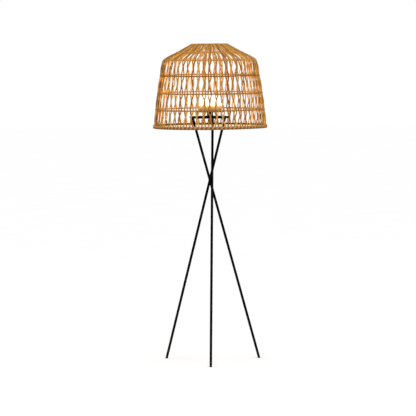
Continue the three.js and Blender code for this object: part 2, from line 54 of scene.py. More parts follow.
SHARP_EDGE = math.radians(40)  # faces that meet at more than this keep a sharp edge
LINE_SHIFT = 7.3  # metres by which the pattern of each strand is moved on from the one before it
FRAME_WIDTH = 416  # width of the picture in pixels


class Body(Enum):
    """The rigid bodies that pieces ride on."""

    STAND = "stand"
    SHADE = "shade"
    DOME = "dome"


class Twist(Enum):
    """The hand in which two cords of a twined row turn round each other."""

    LEFT = -1
    RIGHT = 1


# ---------------------------------------------------------------- surfaces


@dataclass
class Surface:
    """A surface as whole arrays: points, four-sided faces, caps, and what the finishes read.

    Attributes:
        points: places of the points in metres, one row each.
        quads: the four point numbers of each face, seen from outside against the clock.
        uv: one pair for each corner of each face, in metres along and round the piece.
        tone: a value from 0 to 1 for each point, alike along one strand.
        edge: 1 at each point on a rounded edge, 0 elsewhere.
        caps: the point numbers of each flat end.
    """

    points: Array
    quads: Array
    uv: Array
    tone: Array
    edge: Array
    caps: list[Array] = field(default_factory=list)


def joined(surfaces: list[Surface]) -> Surface:
    """Puts several surfaces into one, each with its point numbers shifted past those before it.

    Args:
        surfaces: the surfaces, in order.

    Returns:
        One surface that holds them all.
    """
    counts = np.array([len(part.points) for part in surfaces])
    shifts = np.concatenate([[0], np.cumsum(counts)[:-1]])
    caps = [cap + shift for part, shift in zip(surfaces, shifts) for cap in part.caps]
    return Surface(
        points=np.concatenate([part.points for part in surfaces]),
        quads=np.concatenate([part.quads + shift for part, shift in zip(surfaces, shifts)]),
        uv=np.concatenate([part.uv for part in surfaces]),
        tone=np.concatenate([part.tone for part in surfaces]),
        edge=np.concatenate([part.edge for part in surfaces]),
        caps=caps,
    )


def unit(vectors: Array) -> Array:
    """Each vector divided by its own length."""
    return vectors / np.linalg.norm(vectors, axis=-1, keepdims=True)


def around(radius: Array, angle: Array, height: Array | float) -> Array:
    """Points round the lamp's axis: radius * cos(angle), radius * sin(angle) and the height.

    Args:
        radius: distance of each point from the axis.
        angle: its angle from the X axis.
        height: its height, or one height for all.

    Returns:
        The points, with their three values last.
    """
    return np.stack(np.broadcast_arrays(radius * np.cos(angle), radius * np.sin(angle), height), axis=-1)


def full_turn(steps: int) -> Array:
    """Angles of a full turn in even steps, from 0 to just before its end."""
    return 2 * math.pi * np.arange(steps) / steps


def corner_uv(corners: list[tuple[Array, Array]], shape: tuple[int, ...]) -> Array:
    """The pairs at the four corners of each face.

    Args:
        corners: both values of the pair at each of the four corners, for all faces at once.
        shape: how the faces lie on the surface's grid.

    Returns:
        Four pairs for each face.
    """
    pairs = [np.stack([np.broadcast_to(value, shape) for value in pair], axis=-1) for pair in corners]
    return np.stack(pairs, axis=-2).reshape(-1, 4, 2)


def swept(
    centres: Array, outward: Array, width: Array, depth: Array, sides: int, closed: bool, tone: Array
) -> Surface:
    """Carries an oval section along many lines at once.

    Formula: the tangent of a line is the difference between the neighbours of a point. The outward
    direction loses its share along the tangent, and the direction across is outward times tangent. The
    point at angle a of a section is centre + width / 2 * cos(a) * across + depth / 2 * sin(a) * outward.

    Args:
        centres: points of the lines, as lines x steps x 3.
        outward: the direction away from the lamp's axis at each of them.
        width: the section's size across, as lines x steps.
        depth: the section's size in and out, as lines x steps.
        sides: how many points a section has.
        closed: whether each line comes back to its first point.
        tone: one value for each line.

    Returns:
        The surface of all the lines, with caps on the ends of open ones.
    """
    lines, steps = centres.shape[:2]
    if closed:
        tangent = np.roll(centres, -1, axis=1) - np.roll(centres, 1, axis=1)
    else:
        tangent = np.gradient(centres, axis=1)
    tangent = unit(tangent)
    normal = unit(outward - tangent * np.sum(outward * tangent, axis=-1, keepdims=True))
    across = np.cross(normal, tangent)
    angle = full_turn(sides)
    wide = width[:, :, None, None] / 2 * np.cos(angle)[None, None, :, None]
    deep = depth[:, :, None, None] / 2 * np.sin(angle)[None, None, :, None]
    points = centres[:, :, None] + wide * across[:, :, None] + deep * normal[:, :, None]

    number = np.arange(lines * steps * sides).reshape(lines, steps, sides)
    beside = np.roll(number, -1, axis=2)
    if closed:
        after, beside_after = np.roll(number, -1, axis=1), np.roll(beside, -1, axis=1)
        here, beside_here = number, beside
    else:
        after, beside_after = number[:, 1:], beside[:, 1:]
        here, beside_here = number[:, :-1], beside[:, :-1]
    quads = np.stack([here, beside_here, beside_after, after], axis=-1).reshape(-1, 4)

    step_length = np.linalg.norm(np.diff(centres, axis=1, append=centres[:, :1]), axis=-1)
    travelled = np.cumsum(step_length, axis=1)
    start = np.concatenate([np.zeros((lines, 1)), travelled[:, :-1]], axis=1)
    ahead = travelled if closed else travelled[:, :-1]
    start = start[:, : ahead.shape[1]]
    turn = np.arange(sides + 1) / sides * math.pi * float(np.mean(width + depth)) / 2
    offset = LINE_SHIFT * np.arange(lines)[:, None, None]
    near, far = start[:, :, None] + offset, ahead[:, :, None] + offset
    low, high = turn[:-1], turn[1:]
    corners = [(near, low), (near, high), (far, high), (far, low)]
    uv = corner_uv(corners, (lines, ahead.shape[1], sides))

    caps = [] if closed else [*number[:, 0, ::-1], *number[:, -1]]
    return Surface(
        points=points.reshape(-1, 3),
        quads=quads,
        uv=uv,
        tone=np.repeat(tone, steps * sides),
        edge=np.zeros(lines * steps * sides),
        caps=caps,
    )


def rounded(corners: list[Triple], steps: int) -> tuple[Array, Array]:
    """A closed profile whose corners are rounded.

    Formula: a corner with legs towards its two neighbours gets the arc of a quadratic curve that starts
    and ends at its rounding's length from the corner: (1-t)^2 * start + 2t(1-t) * corner + t^2 * end.

    Args:
        corners: radius, height and rounding of each corner in metres, in order.
        steps: points on a rounded corner.

    Returns:
        The profile's points as rows of radius and height, and 1 for each that lies on a rounding.
    """
    table = np.array(corners)
    place, reach = table[:, :2], table[:, 2:]
    before = unit(np.roll(place, 1, axis=0) - place)
    after = unit(np.roll(place, -1, axis=0) - place)
    share = np.linspace(0, 1, steps)[None, :, None]
    start, end = (place + before * reach)[:, None], (place + after * reach)[:, None]
    curve = (1 - share) ** 2 * start + 2 * share * (1 - share) * place[:, None] + share**2 * end
    keep = np.ones((len(table), steps), bool)
    keep[reach[:, 0] == 0, 1:] = False
    on_edge = np.broadcast_to(reach > 0, keep.shape)
    return curve[keep], on_edge[keep].astype(float)


def turned(profile: Array, edge: Array, facets: int) -> Surface:
    """Turns a closed profile round the lamp's axis.

    Formula: the point at angle a is (radius * cos(a), radius * sin(a), height).

    Args:
        profile: rows of radius and height, with the material on their left.
        edge: 1 for each row on a rounded edge.
        facets: steps of a full turn.

    Returns:
        The surface, closed round both ways.
    """
    points = around(profile[:, 0], full_turn(facets)[:, None], profile[:, 1])
    number = np.arange(points.shape[0] * points.shape[1]).reshape(points.shape[:2])
    beside = np.roll(number, -1, axis=0)
    quads = np.stack([number, beside, np.roll(beside, -1, axis=1), np.roll(number, -1, axis=1)], axis=-1)
    length = np.linalg.norm(np.roll(profile, -1, axis=0) - profile, axis=1)
    travelled = np.concatenate([[0], np.cumsum(length)])
    start, step = (np.arange(facets) / facets)[:, None], 1 / facets
    low, high = travelled[:-1], travelled[1:]
    corners = [(start, low), (start + step, low), (start + step, high), (start, high)]
    return Surface(
        points=points.reshape(-1, 3),
        quads=quads.reshape(-1, 4),
        uv=corner_uv(corners, number.shape),
        tone=np.full(number.size, 0.5),
        edge=np.tile(edge, facets),
    )


def closed_at_axis(shell: Surface, rows: int, last: int) -> Surface:
    """Closes the small holes that a turned profile leaves at its axis with flat caps.

    Args:
        shell: a turned surface.
        rows: how many rows its profile has.
        last: the profile's row before the axis; the next one lies past it.

    Returns:
        The same surface, with caps in place of the faces between the two rows.
    """
    after = (last + 1) % rows
    keep = ~np.all(shell.quads % rows == [last, last, after, after], axis=1)
    columns = np.arange(0, len(shell.points), rows)
    shell.quads, shell.uv = shell.quads[keep], shell.uv[keep]
    shell.caps = [columns + last, (columns + after)[::-1]]
    return shell


def placed(name: str, data: bpy.types.ID) -> bpy.types.Object:
    """A new object in the scene that shows a mesh, a light or a camera."""
    thing = bpy.data.objects.new(name, data)
    bpy.context.scene.collection.objects.link(thing)
    return thing


def made_piece(
    name: str, surface: Surface, finish: Material, body: Body, stands_for: list[str]
) -> bpy.types.Object:
    """Puts a surface into a smooth-shaded mesh object, with its finish, that rides on a body.

    Args:
        name: the piece's name.
        surface: its surface.
        finish: its material.
        body: the body that it rides on.
        stands_for: the nodes that it replaces.

    Returns:
        The new object, at the origin.
    """
    mesh = bpy.data.meshes.new(name)
    sizes = np.array([4] * len(surface.quads) + [len(cap) for cap in surface.caps])
    corners = np.concatenate([surface.quads.ravel(), *surface.caps]).astype(np.int32)
    starts = np.concatenate([[0], np.cumsum(sizes)[:-1]]).astype(np.int32)
    mesh.vertices.add(len(surface.points))
    mesh.vertices.foreach_set("co", surface.points.astype(np.float32).ravel())
    mesh.loops.add(len(corners))
    mesh.loops.foreach_set("vertex_index", corners)
    mesh.polygons.add(len(sizes))
    mesh.polygons.foreach_set("loop_start", starts)
    mesh.update(calc_edges=True)
    uv = np.zeros((len(corners), 2), np.float32)
    uv[: surface.uv.shape[0] * 4] = surface.uv.reshape(-1, 2)
    mesh.uv_layers.new(name="along").data.foreach_set("uv", uv.ravel())
    for label, values in (("tone", surface.tone), ("edge", surface.edge)):
        mesh.attributes.new(label, "FLOAT", "POINT").data.foreach_set("value", values.astype(np.float32))
    mesh.validate()
    mesh.shade_smooth()
    mesh.set_sharp_from_angle(angle=SHARP_EDGE)
    mesh.materials.append(finish)
    piece = placed(name, mesh)
    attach(piece, body.value)
    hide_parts(*stands_for)
    log.info("%s: %d faces on %s", name, len(mesh.polygons), body.value)
    return piece


# ---------------------------------------------------------------- finishes


class NodeSheet:
    """Adds and links the nodes of one node tree."""

    def __init__(self, tree: bpy.types.NodeTree) -> None:
        """Takes the tree to work on."""
        self.tree = tree

    def feed(self, node: bpy.types.Node, inputs: Inputs) -> None:
        """Gives inputs of a node a value or a link.

        Args:
            node: the node.
            inputs: a value or an output socket for each input, by name or number.
        """
        for label, value in inputs.items():
            if isinstance(value, Socket):
                self.tree.links.new(value, node.inputs[label])
            else:
                node.inputs[label].default_value = value

    def add(self, kind: str, inputs: Inputs | None = None, **settings: object) -> bpy.types.Node:
        """Adds a node, sets its properties and feeds its inputs.

        Args:
            kind: the node's type without the word ShaderNode.
            inputs: a value or an output socket for each input, by name or number.
            settings: properties of the node.

        Returns:
            The new node.
        """
        node = self.tree.nodes.new("ShaderNode" + kind)
        for label, value in settings.items():
            setattr(node, label, value)
        self.feed(node, inputs or {})
        return node

    def place(self) -> Socket:
        """The place on the piece in metres."""
        return self.add("TexCoord").outputs["Object"]

    def attribute(self, name: str) -> Socket:
        """A value that the mesh holds for each point."""
        return self.add("Attribute", attribute_name=name).outputs["Fac"]

    def noise(self, place: Socket, scale: float | Socket, detail: float) -> Socket:
        """Cloudy noise from 0 to 1 over a place: its cells on a unit of it and its layers of detail."""
        return self.add("TexNoise", {"Vector": place, "Scale": scale, "Detail": detail}).outputs[0]

    def stretched(self, place: Socket, scale: Triple) -> Socket:
        """A place with each direction multiplied by its own scale."""
        return self.add("Mapping", {"Vector": place, "Scale": scale}).outputs[0]

    def share(self, value: Socket, low: float, high: float, most: float = 1.0) -> Socket:
        """0 up to the low value, the most from the high one, and a straight rise between them."""
        inputs = {"Value": value, "From Min": low, "From Max": high, "To Max": most}
        return self.add("MapRange", inputs).outputs["Result"]

    def rising(self, value: Socket, low: float, high: float) -> Socket:
        """0 up to the low value, 1 from the high one, and an eased rise between them."""
        inputs = {"Value": value, "From Min": low, "From Max": high}
        return self.add("MapRange", inputs, interpolation_type="SMOOTHSTEP").outputs["Result"]

    def scaled_sum(self, value: Socket, factor: float, further: Socket) -> Socket:
        """A value times a factor, plus a further value."""
        return self.add("Math", {0: value, 1: factor, 2: further}, operation="MULTIPLY_ADD").outputs[0]

    def ramp(self, factor: Socket, stops: list[tuple[float, Colour]]) -> Socket:
        """A colour ramp over a factor.

        Args:
            factor: what it reads.
            stops: position and colour of each stop.

        Returns:
            Its colour output.
        """
        node = self.add("ValToRGB", {"Fac": factor})
        ramp = node.color_ramp
        while len(ramp.elements) < len(stops):
            ramp.elements.new(1.0)
        for element, (position, colour) in zip(ramp.elements, stops):
            element.position = position
            element.color = (*colour, 1.0)
        return node.outputs["Color"]

    def mix(self, factor: Socket | float, first: object, second: object, blend: str = "MIX") -> Socket:
        """Mixes two colours.

        Args:
            factor: the share of the second.
            first: a colour or socket.
            second: a colour or socket.
            blend: how they are mixed.

        Returns:
            The mixed colour.
        """
        colours = [value if isinstance(value, Socket) else (*value, 1.0) for value in (first, second)]
        inputs = {0: factor, 6: colours[0], 7: colours[1]}
        return self.add("Mix", inputs, data_type="RGBA", blend_type=blend).outputs[2]

    def shaded(self, share: float, colour: Socket, value: Socket) -> Socket:
        """A share of a colour multiplied by a value."""
        grey = self.add("CombineColor", {0: value, 1: value, 2: value}).outputs[0]
        return self.mix(share, colour, grey, "MULTIPLY")

    def scuff(self, place: Socket, grains: float) -> bpy.types.NodeOutputs:
        """Wear, dust and fine height of a surface, with so many grains on a metre."""
        inputs = {"Vector": place, "Edge": self.attribute("edge"), "Size": grains}
        return self.add("Group", inputs, node_tree=SCUFF).outputs

    def height(self, place: Socket) -> Socket:
        """How high a place lies, in metres."""
        return self.add("SeparateXYZ", {0: place}).outputs["Z"]

    def between(self, factor: Socket, low: float, high: float) -> Socket:
        """Maps a factor from 0 to 1 onto the span from low to high."""
        return self.add("MapRange", {"Value": factor, "To Min": low, "To Max": high}).outputs["Result"]

    def bump(self, height: Socket, strength: float, distance: float) -> Socket:
        """A normal from a height, with the bump's strength and its depth in metres."""
        inputs = {"Height": height, "Strength": strength, "Distance": distance}
        return self.add("Bump", inputs).outputs["Normal"]


class EffectGroup:
    """A shader node group with named sockets, its sheet and its input node."""

    def __init__(self, name: str, inputs: dict[str, str], outputs: list[str]) -> None:
        """Makes the empty group.

        Args:
            name: the group's name.
            inputs: socket type by name, without the word NodeSocket.
            outputs: names of the values that it puts out.
        """
        self.tree = bpy.data.node_groups.new(name, "ShaderNodeTree")
        for label, kind in inputs.items():
            self.tree.interface.new_socket(label, in_out="INPUT", socket_type="NodeSocket" + kind)
        for label in outputs:
            self.tree.interface.new_socket(label, in_out="OUTPUT", socket_type="NodeSocketFloat")
        self.sheet = NodeSheet(self.tree)
        self.inputs = self.tree.nodes.new("NodeGroupInput").outputs

    def finished(self, shown: Inputs) -> bpy.types.NodeTree:
        """The group's tree, once each of its outputs has its socket."""
        self.sheet.feed(self.tree.nodes.new("NodeGroupOutput"), shown)
        return self.tree


def fibre_group() -> bpy.types.NodeTree:
    """Long fibres, blotches and knots of split cane, read along the strand.

    Returns:
        The group: from a vector in metres along and across the strand, a fibre mask, a blotch mask, a
        knot mask and a height.
    """
    fibres, blotches, joints = (60.0, 2600.0, 1.0), (22.0, 60.0, 1.0), (5.5, 0.0, 1.0)  # cells on a metre
    knot_span, knot_height = (0.66, 0.72), 0.6
    inputs = {"Vector": "Vector", "Fineness": "Float"}
    group = EffectGroup("cane_fibre", inputs, ["Fibre", "Blotch", "Knot", "Height"])
    sheet, place = group.sheet, group.inputs["Vector"]
    fibre = sheet.noise(sheet.stretched(place, fibres), group.inputs["Fineness"], detail=4.0)
    blotch = sheet.noise(sheet.stretched(place, blotches), 1.0, detail=3.0)
    joint = sheet.noise(sheet.stretched(place, joints), 1.0, detail=1.0)
    knot = sheet.rising(joint, *knot_span)
    height = sheet.scaled_sum(knot, knot_height, fibre)
    return group.finished({"Fibre": fibre, "Blotch": blotch, "Knot": knot, "Height": height})


def scuff_group() -> bpy.types.NodeTree:
    """Wear where a rounded edge or a chance rub has taken off the surface, and fine dust.

    Returns:
        The group: from a vector in metres and an edge value, a wear mask, a dust mask and a fine height.
    """
    rub_cells, dust_cells = 85.0, 14.0  # on a metre
    edge_share, wear_span, dust_span = 0.22, (0.7, 0.82), (0.42, 0.75)
    inputs = {"Vector": "Vector", "Edge": "Float", "Size": "Float"}
    group = EffectGroup("scuff_and_dust", inputs, ["Wear", "Dust", "Height"])
    sheet, place = group.sheet, group.inputs["Vector"]
    inputs = {"Vector": place, "Scale": rub_cells, "Detail": 6.0, "Roughness": 0.7}
    rub = sheet.add("TexNoise", inputs).outputs[0]
    wear = sheet.rising(sheet.scaled_sum(group.inputs["Edge"], edge_share, rub), *wear_span)
    dust = sheet.share(sheet.noise(place, dust_cells, detail=5.0), *dust_span)
    grain = sheet.noise(place, group.inputs["Size"], detail=2.0)
    return group.finished({"Wear": wear, "Dust": dust, "Height": grain})


FIBRE, SCUFF = fibre_group(), scuff_group()
DUST = (0.32, 0.29, 0.25)  # colour of dust
BLACK = (0.0, 0.0, 0.0)
WHITE = (1.0, 1.0, 1.0)


def dimmed(colour: Colour, share: float) -> Colour:
    """A colour with each of its values multiplied by a share."""
    return tuple(share * value for value in colour)


@dataclass(frozen=True)
class Finish:
    """A material with one Principled shader. Each kind of finish says what feeds it.

    Attributes:
        name: the material's name.
    """

    name: str

    def inputs(self, sheet: NodeSheet) -> Inputs:
        """The shader's inputs by name; a finish that isn't of any kind has none."""
        return {}

    def build(self) -> Material:
        """Makes the material.

        Returns:
            The material.
        """
        finish = bpy.data.materials.new(self.name)
        finish.use_nodes = True
        finish.node_tree.nodes.clear()
        sheet = NodeSheet(finish.node_tree)
        shader = sheet.add("BsdfPrincipled", self.inputs(sheet))
        output = sheet.add("OutputMaterial", {"Surface": shader.outputs["BSDF"]})
        output.is_active_output = True
        return finish


@dataclass(frozen=True)
class CaneFinish(Finish):
    """Split rattan core: pale and dark strands, long fibres, blotches and darker joints.

    Attributes:
        dark: colour of the darkest strands.
        middle: colour of most strands.
        pale: colour of the palest strands.
        pith: colour of the core where the split side shows.
        knot: colour at a joint of the cane.
        roughness: the surface's roughness between fibres.
        rougher: how far its roughness falls and rises from there.
        fineness: how fine the fibres are, where 1 is plain.
        blotching: how dark and how bright blotches make it.
        streaking: how dark and how bright fibres make it.
        streaked: share in which fibres show.
        relief: depth of the fibres in metres.
        shine: level of its mirror-like share, where 0.5 is plain.
    """

    dark: Colour
    middle: Colour
    pale: Colour
    pith: Colour
    knot: Colour
    roughness: float = 0.5
    rougher: Span = (-0.1, 0.15)
    fineness: float = 1.0
    blotching: Span = (0.55, 1.35)
    streaking: Span = (0.6, 1.35)
    streaked: float = 0.75
    relief: float = 0.0004
    shine: float = 0.12

    def inputs(self, sheet: NodeSheet) -> Inputs:
        """The strand's own colour under blotches, streaks and knots, with raised fibres.

        Args:
            sheet: the material's sheet.

        Returns:
            The shader's inputs.
        """
        along = sheet.add("UVMap", uv_map="along").outputs["UV"]
        fibre = sheet.add("Group", {"Vector": along, "Fineness": self.fineness}, node_tree=FIBRE).outputs
        stops = [(0.0, self.dark), (0.45, self.middle), (0.95, self.pale), (1.0, self.pith)]
        strand = sheet.ramp(sheet.attribute("tone"), stops)
        blotched = sheet.shaded(1.0, strand, sheet.between(fibre["Blotch"], *self.blotching))
        lined = sheet.shaded(self.streaked, blotched, sheet.between(fibre["Fibre"], *self.streaking))
        smooth, rough = (self.roughness + change for change in self.rougher)
        return {
            "Base Color": sheet.mix(fibre["Knot"], lined, self.knot),
            "Roughness": sheet.between(fibre["Fibre"], smooth, rough),
            "Normal": sheet.bump(fibre["Height"], strength=0.35, distance=self.relief),
            "Specular IOR Level": self.shine,
        }


@dataclass(frozen=True)
class CoatedFinish(Finish):
    """A painted, moulded, plated or fired surface: fine grain, rubbed places and a little dust.

    Attributes:
        colour: the surface's colour.
        worn: the colour that shows where it is rubbed.
        roughness: its roughness where it is clean.
        rougher: how far its roughness falls where it is clean and rises where dust lies.
        rubbed: share of the worn colour where it is rubbed most.
        metallic: 1 for bare metal.
        grain: how many grains lie on a metre.
        relief: depth of the grain in metres.
        dust: share of dust on it.
        coat: weight of a clear coat.
        shine: level of its mirror-like share, where 0.5 is plain.
    """

    colour: Colour
    worn: Colour
    roughness: float
    rougher: Span = (-0.04, 0.16)
    rubbed: float = 0.55
    metallic: float = 0.0
    grain: float = 1400.0
    relief: float = 0.0001
    dust: float = 0.12
    coat: float = 0.0
    shine: float = 0.5

    def inputs(self, sheet: NodeSheet) -> Inputs:
        """The colour with rubbed places and dust over it, rougher where dust lies, and a fine grain.

        Args:
            sheet: the material's sheet.

        Returns:
            The shader's inputs.
        """
        scuff = sheet.scuff(sheet.place(), self.grain)
        worn = sheet.mix(sheet.between(scuff["Wear"], 0.0, self.rubbed), self.colour, self.worn)
        clean, dusty = (min(1.0, self.roughness + change) for change in self.rougher)
        return {
            "Base Color": sheet.mix(sheet.between(scuff["Dust"], 0.0, self.dust), worn, DUST),
            "Roughness": sheet.between(scuff["Dust"], clean, dusty),
            "Normal": sheet.bump(scuff["Height"], strength=0.5, distance=self.relief),
            "Metallic": self.metallic,
            "Specular IOR Level": self.shine,
            "Coat Weight": self.coat,
            "Coat Roughness": 0.2,
        }


@dataclass(frozen=True)
class TurnedWoodFinish(Finish):
    """Turned wood under clear lacquer: growth rings cut across, pores, rubbed places and a painted glow
    under the rim.

    Attributes:
        early: colour of the pale part of a ring.
        late: colour of the dark part of a ring.
        rim: height of the cup's rim in metres, under which a glow is painted on the wood as emission.
        lit: depth of the painted glow band under it.
        glow: colour of that painted glow.
        full: share of that band, from the rim down, that is fully lit.
        strength: how bright it is, where 1 is white.
        heart: where the growth rings have their middle, in metres.
        pores: cells of the pores on a metre, in each direction.
        scratches: cells of the scratches and the dust on a metre.
        rubbed: share of the pale colour where it is rubbed most.
        roughness: its roughness where it is clean and where dust lies.
        relief: depth of the pores in metres.
    """

    early: Colour
    late: Colour
    rim: float
    lit: float = 0.0105
    glow: Colour = (1.0, 0.33, 0.055)
    full: float = 0.3
    strength: float = 0.8
    heart: Triple = (-0.03, 0.0, 1.19)
    pores: Triple = (900.0, 60.0, 900.0)
    scratches: float = 500.0
    rubbed: float = 0.35
    roughness: Span = (0.32, 0.5)
    relief: float = 0.0002

    def inputs(self, sheet: NodeSheet) -> Inputs:
        """Rings and pores with rubbed places over them, and a painted glow: emission in a band under the rim
        that paints the bulb's light on the wood.

        Args:
            sheet: the material's sheet.

        Returns:
            The shader's inputs.
        """
        place = sheet.place()
        back = tuple(-value for value in self.heart)
        moved = {"Vector": place, "Location": back, "Scale": (1.0, 0.12, 1.0)}
        inputs = {
            "Vector": sheet.add("Mapping", moved).outputs[0],
            "Scale": 75.0,
            "Distortion": 5.0,
            "Detail": 3.0,
            "Detail Scale": 1.4,
        }
        rings = sheet.add("TexWave", inputs, wave_type="RINGS", rings_direction="Y")
        grown = sheet.ramp(rings.outputs["Fac"], [(0.0, self.early), (0.6, self.early), (1.0, self.late)])
        pore = sheet.noise(sheet.stretched(place, self.pores), 1.0, detail=2.0)
        pored = sheet.mix(sheet.share(pore, 0.62, 0.72, most=0.5), grown, self.late)
        scuff = sheet.scuff(place, self.scratches)
        # through: mask of the painted glow, a band of emission under the rim that paints the bulb's light on
        # the wood
        through = sheet.rising(sheet.height(place), self.rim - self.lit, self.rim - self.full * self.lit)
        return {
            "Base Color": sheet.mix(sheet.between(scuff["Wear"], 0.0, self.rubbed), pored, self.early),
            "Roughness": sheet.between(scuff["Dust"], *self.roughness),
            "Normal": sheet.bump(pore, strength=0.25, distance=self.relief),
            # the painted glow: the wood emits light in the band under its rim
            "Emission Color": sheet.mix(through, BLACK, self.glow),
            "Emission Strength": self.strength,
            "Coat Weight": 0.2,
            "Coat Roughness": 0.15,
        }


@dataclass(frozen=True)
class OpalGlassFinish(Finish):
    """Opal glass lit from inside, a little duller at its foot.

    Attributes:
        glow: colour of the light.
        strength: how bright it is, where 1 is white.
        foot: height of the dome's foot in metres.
        crest: height of its top in metres.
        dull: how bright its foot is beside the rest.
        clouds: cells of its clouds on a metre.
        mottle: by how much clouds move the edge of the dull part.
        milk: colour of the glass in its darkest and its palest clouds.
        roughness: its roughness in the same two.
    """

    glow: Colour
    strength: float
    foot: float
    crest: float
    dull: float = 0.72
    clouds: float = 60.0
    mottle: float = 0.15
    milk: tuple[Colour, Colour] = ((0.86, 0.82, 0.76), (0.92, 0.89, 0.84))
    roughness: Span = (0.12, 0.24)

    def inputs(self, sheet: NodeSheet) -> Inputs:
        """Light that rises from the foot up, over milky glass with faint clouds.

        Args:
            sheet: the material's sheet.

        Returns:
            The shader's inputs.
        """
        place = sheet.place()
        cloud = sheet.noise(place, self.clouds, detail=3.0)
        rise = sheet.share(sheet.height(place), self.foot, self.crest)
        lit = [(0.0, dimmed(self.glow, self.dull)), (0.35, self.glow), (1.0, self.glow)]
        return {
            "Emission Color": sheet.ramp(sheet.scaled_sum(cloud, self.mottle, rise), lit),
            "Base Color": sheet.ramp(cloud, [(0.3, self.milk[0]), (0.7, self.milk[1])]),
            "Roughness": sheet.between(cloud, *self.roughness),
            "Emission Strength": self.strength,
            "Coat Weight": 0.3,
            "Coat Roughness": 0.05,
        }


@dataclass(frozen=True)
class ClearGlassFinish(Finish):
    """Clear glass of the capsule bulb, lit from inside.

    Attributes:
        tint: colour of the glass.
        glow: colour of its light.
        strength: how bright it is, where 1 is white.
        dull: how bright it is in its darkest haze beside the rest.
        haze: cells of its haze on a metre.
        roughness: its roughness outside the haze and in it.
    """

    tint: Colour
    glow: Colour
    strength: float
    dull: float = 0.8
    haze: float = 220.0
    roughness: Span = (0.02, 0.1)

    def inputs(self, sheet: NodeSheet) -> Inputs:
        """Warm light and clear glass under a faint haze.

        Args:
            sheet: the material's sheet.

        Returns:
            The shader's inputs.
        """
        haze = sheet.noise(sheet.place(), self.haze, detail=2.0)
        return {
            "Emission Color": sheet.ramp(haze, [(0.2, self.glow), (0.8, dimmed(self.glow, self.dull))]),
            "Roughness": sheet.between(haze, *self.roughness),
            "Base Color": (*self.tint, 1.0),
            "Emission Strength": self.strength,
            "Transmission Weight": 0.6,
            "IOR": 1.47,
        }


@dataclass(frozen=True)
class FloorFinish(Finish):
    """A pale matt floor.

    Attributes:
        pale: its colour in its darkest clouds; the palest are white.
        clouds: cells of its clouds on a metre.
    """

    pale: Colour = (0.985, 0.985, 0.985)
    clouds: float = 3.0

    def inputs(self, sheet: NodeSheet) -> Inputs:
        """Nearly white in faint clouds, without shine."""
        cloud = sheet.noise(sheet.place(), self.clouds, detail=3.0)
        colour = sheet.ramp(cloud, [(0.3, self.pale), (0.7, WHITE)])
        return {"Base Color": colour, "Roughness": 0.9, "Specular IOR Level": 0.0}


FINISHES = {
    "cane": CaneFinish(
        name="cane",
        dark=(0.20, 0.078, 0.011),
        middle=(0.41, 0.180, 0.026),
        pale=(0.66, 0.35, 0.07),
        pith=(0.70, 0.40, 0.10),
        knot=(0.16, 0.06, 0.01),
    ),
    "binding": CaneFinish(
        name="binding_cane",
        dark=(0.12, 0.043, 0.0055),
        middle=(0.26, 0.105, 0.014),
        pale=(0.64, 0.32, 0.055),
        pith=(0.70, 0.38, 0.08),
        knot=(0.07, 0.025, 0.004),
        roughness=0.55,
    ),
    # border: its dark colour also serves as the painted shade on the border's inner upper part
    "border": CaneFinish(
        name="border_cane",
        dark=(0.055, 0.019, 0.003),
        middle=(0.36, 0.165, 0.045),
        pale=(0.66, 0.38, 0.14),
        pith=(0.88, 0.76, 0.55),
        knot=(0.11, 0.04, 0.007),
        roughness=0.55,
    ),
    "black_steel": CoatedFinish(
        name="black_powder_coat",
        colour=(0.002, 0.002, 0.0023),
        worn=(0.008, 0.0077, 0.0075),
        roughness=0.5,
        grain=1600.0,
        relief=0.00012,
        dust=0.003,
        shine=0.02,
    ),
    "brown_lacquer": CoatedFinish(
        name="brown_lacquer",
        colour=(0.24, 0.1, 0.022),
        worn=(0.12, 0.1, 0.08),
        roughness=0.45,
        grain=1800.0,
        dust=0.05,
        shine=0.2,
    ),
    "black_plastic": CoatedFinish(
        name="black_moulded_plastic",
        colour=(0.005, 0.005, 0.0055),
        worn=(0.03, 0.028, 0.027),
        roughness=0.6,
        grain=2600.0,
        relief=0.00008,
        dust=0.02,
        shine=0.12,
    ),
    "zinc": CoatedFinish(
        name="zinc_plate",
        colour=(0.62, 0.62, 0.59),
        worn=(0.35, 0.34, 0.32),
        roughness=0.3,
        metallic=1.0,
        grain=900.0,
        relief=0.00005,
        dust=0.1,
    ),
    "ceramic": CoatedFinish(
        name="fired_ceramic",
        colour=(0.78, 0.75, 0.68),
        worn=(0.6, 0.55, 0.47),
        roughness=0.35,
        grain=700.0,
        relief=0.00006,
        dust=0.15,
        coat=0.4,
    ),
    "wood": TurnedWoodFinish("turned_wood", early=(0.80, 0.46, 0.21), late=(0.45, 0.215, 0.085), rim=1.2086),
    "opal": OpalGlassFinish("opal_glass", glow=(1.0, 0.93, 0.84), strength=1.3, foot=1.204, crest=1.265),
    "capsule": ClearGlassFinish(
        "capsule_glass", tint=(0.95, 0.93, 0.88), glow=(1.0, 0.72, 0.4), strength=4.0
    ),
}


# ---------------------------------------------------------------- the shade


